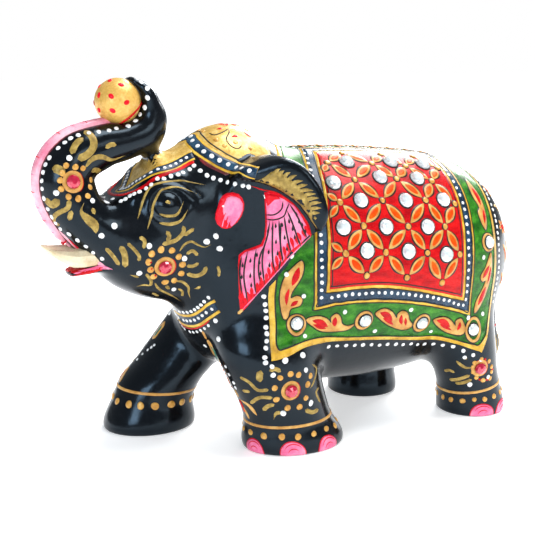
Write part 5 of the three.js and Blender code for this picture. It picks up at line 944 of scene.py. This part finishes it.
def nails(key, angs, w=3.2, hgt=4.4):
    for a0 in angs:
        t = np.linspace(0, np.pi, 15); rx = cubic(LEGS[key], 3, np.array([1.0]))[0]
        for m, k, l in [('hot', 1.08, 0.05), ('pink', 1.0, 0.10)]:
            Q = np.stack([a0-np.cos(t)*w*k/rx, 0.12+np.sin(t)**0.8*hgt*k], 1); leg_field(m, key, Q, l)
        for rr, w_, lo in [(0.78,0.42,0.15),(0.45,0.36,0.25)]:
            tt = np.linspace(0.12*np.pi if rr > 0.6 else 0.05*np.pi, 0.82*np.pi, 12); A = a0+0.02-np.cos(tt)*w*rr/rx; Z = 0.5+np.sin(tt)**0.8*hgt*rr
            stroke('hot', around(key, A, Z), w_, 0.06, 0.12, 'leaf', side='L')
nails('NF', [math.pi*1.10,math.pi*1.369,math.pi*1.614], 4.0)
nails('FF', [math.pi*1.30,math.pi*1.56], 4.0); nails('NH', [math.pi*1.409,math.pi*1.678], 4.1, 4.2); nails('FH', [math.pi*1.409,math.pi*1.678], 4.1, 4.2)

# ------------------------------------------------------------------ collar at the throat
for mat, P, w_, l in [('yellow', [(-26.3,-16.6,47.6),(-27.6,-14.1,46.0),(-28.5,-12.0,44.2),(-29.2,-9.6,42.6),(-29.9,-6.8,41.4),(-30.6,-3.6,40.7),(-30.8,0,40.4)], 0.95, 0.05), ('navy', [(-25.8,-16.6,45.9),(-27.2,-13.6,44.1),(-28.2,-11.5,42.4),(-28.8,-9.2,40.8),(-29.3,-6.6,39.7),(-29.6,-3.4,39.2),(-29.7,0,39.0)], 2.5, 0.0), ('yellow', [(-25.2,-17.4,44.5),(-26.4,-14.7,42.5),(-27.4,-12.2,40.7),(-27.9,-10.0,39.2),(-28.5,-6.8,37.9),(-28.8,-3.4,37.3),(-28.9,0,37.1)], 0.95, 0.05), ('red', [(-26.8,-13.4,40.9),(-27.3,-11.4,39.4),(-27.9,-8.4,37.8),(-28.3,-5.0,36.7),(-28.5,0,36.2)], 0.5, 0.0)]:
    stroke(mat, P, w_, 0.07, l, 'flat')
for P, r_, l in [([(-27.7,-15.0,48.4),(-28.4,-13.4,46.9),(-28.9,-12.2,45.7),(-29.4,-11.0,44.7),(-29.8,-9.6,43.8),(-30.2,-8.0,43.0),(-30.6,-6.2,42.4),(-31.0,-4.2,42.0),(-31.3,-2.1,41.8)], 0.6, 0), ([(-26.6,-15.1,44.8),(-27.5,-13.0,43.4),(-28.1,-11.4,42.2),(-28.6,-9.7,41.1),(-29.0,-7.9,40.2),(-29.3,-5.9,39.6),(-29.6,-3.9,39.2),(-29.7,-1.9,39.0)], 0.55, 0.08), ([(-26.6,-12.6,39.2),(-27.0,-10.6,37.9),(-27.4,-8.5,36.8),(-27.7,-6.4,35.9),(-27.9,-4.2,35.3),(-28.0,-2.0,35.0)], 0.55, 0)]:
    for p in P: dot('white', p, r_, None, l, ex=1.1)

# ------------------------------------------------------------------ rose stripe under the trunk
C_ = np.array(TR)[:,[0,1]]; T_ = np.gradient(C_, axis=0); Nn = np.stack([T_[:,1],-T_[:,0]], 1); Nn /= np.linalg.norm(Nn, axis=1)[:,None]
out = C_-np.array([-50.0,84.0]); sg_ = np.sign((Nn*out).sum(1)); Nn *= sg_[:,None]
under = np.stack([C_[:,0]+Nn[:,0]*np.array(TR)[:,2], np.zeros(len(C_)), C_[:,1]+Nn[:,1]*np.array(TR)[:,2]], 1)
lo_,hi_ = 7,39
U1 = under[lo_:hi_]
stroke('rose', U1, 4.9, 1.4, 0.0, 'line', side='C', step=0.9)
for sgn in (-1, 1): stroke('maroon', U1+np.array([0, sgn*2.62, 0]), 0.55, 0.12, 0.0, 'line', side='C')
for k in range(lo_+1, hi_-1, 1):
    if k % 2: continue
    p = under[k]; stroke('hot' if k % 4 == 0 else 'pink', [p+np.array([0,y,0]) for y in (-1.6,0,1.6)], 0.42, 0.14, 1.3, 'leaf', side='C')
# tail tuft
for k in range(9):
    a = k*2*np.pi/9; P = [(89.9+3.0*math.cos(a), 3.0*math.sin(a), 20),(90.2+3.9*math.cos(a), 3.9*math.sin(a), 14.5),(90.0+2.2*math.cos(a), 2.2*math.sin(a), 8.6)]
    stroke('leafgold' if k % 3 else 'green', P, 1.6, 0.25, 0.0, 'leaf', side='C')
ra = np.arange(16)*2*np.pi/16
for z_, m_ in [(23.5,'tan'),(21.6,'red'),(36.0,'tan'),(50.0,'tan')]:
    i_ = int(np.argmin(np.abs(np.array(TL)[:,2]-z_))); c_ = TL[i_]
    STROKES.append(dict(mat=m_, P=np.stack([c_[0]+3.1*np.cos(ra), 3.1*np.sin(ra), np.full(16, c_[2])], 1), r=np.full(16, 0.45), h=0.15, lift=0.0, side='C', closed=True, leg=None))
# the lip is red, with a rose line along the mouth
stroke('red', [(-65.9,0,57.2),(-63.5,0,58.2),(-60.0,0,59.2),(-56.5,0,60.4)], 8.2, 0.10, 0.0, 'round', side='C')
for P, w_ in [([(-65.4,-1.8,57.0),(-62.8,-3.6,57.4),(-59.6,-5.2,58.0),(-56.8,-6.0,58.6)], 2.2), ([(-65.6,-0.8,56.3),(-63.0,-2.0,56.2),(-60.4,-3.0,56.4)], 1.6)]: stroke('red', P, w_, 0.10, 0.0, 'round')
stroke('pink', [(-63.8,-3.9,58.0),(-60.6,-5.6,58.9),(-57.4,-6.8,59.2),(-54.6,-8.0,58.4)], 0.8, 0.10, 0.10, 'leaf')
stroke('rose', [(-68.9,-2.6,70.3),(-66.1,-3.1,67.0),(-63.8,-3.0,64.3),(-61.7,-3.4,62.5),(-59.7,-4.4,60.9),(-57.9,-6.2,59.8),(-55.7,-7.6,58.4)], 1.5, 0.16, 0.0, 'line')
stroke('hot', [(-66.1,-3.9,67.3),(-63.8,-3.9,64.7),(-61.7,-4.2,62.9),(-59.7,-5.2,61.2)], 0.4, 0.12, 0.1, 'line')
# thin dark bezels where the stones sit
for n_, o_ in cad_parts.items():
    if not n_.startswith('crystal'): continue
    q = np.array([o_.matrix_world @ v.co for v in o_.data.vertices]).mean(0)*1000-np.array(SHIFT); q = to_surface([q], 3)[0]; n = normals(q[None])[0]
    u = np.cross([0,0,1], n); u /= np.linalg.norm(u); v = np.cross(n, u); a = np.arange(28)*2*np.pi/28; r = 2.10 if 'border' in n_ else 2.52
    STROKES.append(dict(mat='black', P=q+np.outer(np.cos(a), u)*r+np.outer(np.sin(a), v)*r, r=np.full(28, 0.32), h=0.20, lift=0.30, side='C', closed=True, leg=None))
release_wrapped()

# ------------------------------------------------------------------ feet fields, ball dots, then everything is laid on
def foot_patch(p):
    Q = even(p['Q'], 0.6/12); key = p['foot']; rx = 13.0
    U = Q*np.array([rx,1]); lo,hi = U.min(0),U.max(0); gx,gy = np.meshgrid(np.arange(lo[0], hi[0]+1, 1.0), np.arange(lo[1], hi[1]+1, 0.87)); gx = gx+(np.arange(gx.shape[0])%2)[:,None]*0.5
    G = np.stack([gx.ravel(), gy.ravel()], 1); U = even(p['Q']*np.array([rx,1]), 0.6); G = G[inside(U, G)]; G = G[np.linalg.norm(G[:,None]-U[None], axis=2).min(1) > 0.4]
    n = len(U); r = delaunay_2d_cdt([Vector(q) for q in np.concatenate([U, G])], [(i, (i+1)%n) for i in range(n)], [], 1, 1e-6)
    V = np.array([v[:] for v in r[0]]); F = [tuple(f) for f in r[2]]
    P = around(key, V[:,0]/rx, V[:,1]); P = to_surface(P, 3); P[:,2] = np.maximum(P[:,2], 0.1); return P, F
FEET = [p for p in PATCHES if 'foot' in p]; PATCHES = [p for p in PATCHES if 'foot' not in p]
for p in FEET:
    P,F = foot_patch(p); N = normals(P)
    c = np.array([np.dot(np.cross(P[f[1]]-P[f[0]], P[f[2]]-P[f[0]]), N[f[0]]) for f in F])
    if (c < 0).sum() > len(c)/2: F = [f[::-1] for f in F]
    cnt = {(f[i], f[(i+1)%len(f)]) for f in F for i in range(len(f))}; rim = [e for e in cnt if (e[1], e[0]) not in cnt]
    top = P+N*p['lift']; low = P-N*0.06; n = len(P); used = sorted({v for e in rim for v in e}); at = {v: n+i for i, v in enumerate(used)}
    W = [(e[1], e[0], at[e[0]], at[e[1]]) for e in rim]
    V = np.concatenate([top, low[used]]); V[:,2] = np.maximum(V[:,2], 0.04); put(p['mat'], V, F+W, [True]*len(F)+[False]*len(W))
B = np.array(BALL[:3]); BR = BALL[3]
dirs = BALLDOTS
for i, d in enumerate(dirs):
    d = np.array(d, float); d /= np.linalg.norm(d); u = np.cross(d, [0,0,1]) if abs(d[2]) < 0.95 else np.array([1.0,0,0]); u /= np.linalg.norm(u); v = np.cross(d, u)
    n = 14; a = np.arange(n)*2*np.pi/n; q = rng.uniform(0, 3.1); V,F = [],[]
    for rr, hh in [(1.0,-0.05),(0.88,0.08),(0.55,0.15)]:
        uu,vv = np.cos(a)*0.95*rr,np.sin(a)*0.72*rr; uu,vv = uu*np.cos(q)-vv*np.sin(q),uu*np.sin(q)+vv*np.cos(q)
        X = d*BR+uu[:,None]*u+vv[:,None]*v; X *= ((BR+hh)/np.linalg.norm(X, axis=1))[:,None]; V.append(B+X)
    V.append((B+d*(BR+0.17))[None]); 
    for k in range(2):
        for j in range(n): F.append((k*n+j, (k+1)*n+j, (k+1)*n+(j+1)%n, k*n+(j+1)%n))
    for j in range(n): F.append((2*n+j, 3*n, 2*n+(j+1)%n))
    V = np.concatenate(V)
    if np.dot(np.cross(V[F[0][1]]-V[F[0][0]], V[F[0][2]]-V[F[0][0]]), d) < 0: F = [f[::-1] for f in F]
    put('hot', V, F, [True]*len(F))
sd = np.array([0.66,0.0,-0.7513]); su = np.array([0.7513,0.0,0.66]); sv = np.array([0.0,1.0,0.0]); am = math.radians(50); n = 72; V = []
for j in range(n):
    q = 2*np.pi*j/n; rad = su*math.cos(q)+sv*math.sin(q); w_ = 0.42+0.10*math.sin(3*q+1)
    m0 = B+(sd*math.cos(am)+rad*math.sin(am))*BR; o1 = sd*math.cos(am)+rad*math.sin(am); o2 = -sd*math.sin(am)+rad*math.cos(am)
    for k in range(6): a_ = 2*np.pi*k/6; V.append(m0+o1*0.26*math.cos(a_)+o2*w_*math.sin(a_))
V = np.array(V); F = [(j*6+k, ((j+1)%n)*6+k, ((j+1)%n)*6+(k+1)%6, j*6+(k+1)%6) for j in range(n) for k in range(6)]
e0 = V[F[0][0]]-(V[0:6].mean(0))
if np.dot(np.cross(V[F[0][1]]-V[F[0][0]], V[F[0][2]]-V[F[0][0]]), e0) < 0: F = [f[::-1] for f in F]
put('red', V, F, [True]*len(F))
lay_paint()

# ------------------------------------------------------------------ floor, light, camera
def stage_mesh(name, verts, faces, mat):
    me = bpy.data.meshes.new(name); me.from_pydata(verts, [], faces); me.materials.append(mat)
    for p in me.polygons: p.use_smooth = True
    o = bpy.data.objects.new(name, me); bpy.context.collection.objects.link(o); return o
fm = bpy.data.materials.new('floor_white'); fm.use_nodes = True; fb = fm.node_tree.nodes['Principled BSDF']
ft = node(fm.node_tree, 'ShaderNodeTexCoord'); fn = node(fm.node_tree, 'ShaderNodeTexNoise', inputs={'Scale': 8.0}); fr = node(fm.node_tree, 'ShaderNodeValToRGB')
fr.color_ramp.elements[0].color = (0.93,0.93,0.93,1); fr.color_ramp.elements[1].color = (0.96,0.96,0.96,1)
fm.node_tree.links.new(ft.outputs['Object'], fn.inputs['Vector']); fm.node_tree.links.new(fn.outputs['Fac'], fr.inputs['Fac']); fm.node_tree.links.new(fr.outputs['Color'], fb.inputs['Base Color'])
fb.inputs['Roughness'].default_value = 0.6; fb.inputs['Specular IOR Level'].default_value = 0.2
fb.inputs['Emission Color'].default_value = (1,1,1,1); 
fl = node(fm.node_tree, 'ShaderNodeVectorMath'); fl.operation = 'LENGTH'; fm.node_tree.links.new(ft.outputs['Object'], fl.inputs[0])
fe = node(fm.node_tree, 'ShaderNodeMapRange', inputs={'From Min': 0.15, 'From Max': 0.9, 'To Min': 0.50, 'To Max': 0.85}); fm.node_tree.links.new(fl.outputs['Value'], fe.inputs['Value']); fm.node_tree.links.new(fe.outputs[0], fb.inputs['Emission Strength'])
R = 3.0
stage_mesh('floor', [(-R,-R,0),(R,-R,0),(R,R,0),(-R,R,0)], [(0,1,2,3)], fm)

w = bpy.data.worlds.new('studio'); bpy.context.scene.world = w; w.use_nodes = True
wb = w.node_tree.nodes['Background']; wb.inputs['Color'].default_value = (0.82,0.91,1.0,1); wb.inputs['Strength'].default_value = 0.32
w2 = node(w.node_tree, 'ShaderNodeBackground'); w2.inputs['Color'].default_value = (1,1,1,1); w2.inputs['Strength'].default_value = 1.0
wl = node(w.node_tree, 'ShaderNodeLightPath'); wm = node(w.node_tree, 'ShaderNodeMixShader')
w.node_tree.links.new(wl.outputs['Is Camera Ray'], wm.inputs[0]); w.node_tree.links.new(wb.outputs[0], wm.inputs[1]); w.node_tree.links.new(w2.outputs[0], wm.inputs[2]); w.node_tree.links.new(wm.outputs[0], w.node_tree.nodes['World Output'].inputs['Surface'])
def area(name, pos, target, size, power, color=(1,1,1), size_y=None):
    l = bpy.data.lights.new(name, 'AREA'); l.energy = power; l.color = color; l.size = size
    if size_y: l.shape = 'RECTANGLE'; l.size_y = size_y
    o = bpy.data.objects.new(name, l); bpy.context.collection.objects.link(o)
    o.location = pos; o.rotation_euler = (Vector(target)-Vector(pos)).to_track_quat('-Z', 'Y').to_euler(); return o
area('key_top', (0.28,-0.05,0.85), (0,0,0.05), 0.55, 9.5)
area('fill_left', (-0.80,-0.60,0.35), (0,0,0.05), 0.35, 3.6, (0.72,0.86,1.0))
area('fill_front', (0.10,-1.0,0.55), (0,0,0.06), 0.4, 2.4, (1.0,0.99,0.97))
area('rim_back', (0.60,0.50,0.50), (0.03,0,0.06), 0.5, 10.0)

AZ,EL,DIST,FOCAL = math.radians(-28.0),math.radians(11.7),0.350,1100.0
aim = Vector(to_frame([0,0,52.0]))
back = Vector((math.sin(AZ)*math.cos(EL), -math.cos(AZ)*math.cos(EL), math.sin(EL)))
cam = bpy.data.cameras.new('camera'); co = bpy.data.objects.new('camera', cam); bpy.context.collection.objects.link(co)
co.location = aim+back*DIST; co.rotation_euler = (-back).to_track_quat('-Z', 'Y').to_euler()
cam.sensor_fit = 'HORIZONTAL'; cam.sensor_width = 36.0; cam.lens = 36.0*FOCAL/535.0; cam.clip_start = 0.01; cam.clip_end = 20
bpy.context.scene.camera = co
bpy.context.scene.view_settings.view_transform = 'Standard'; bpy.context.scene.view_settings.look = 'None'
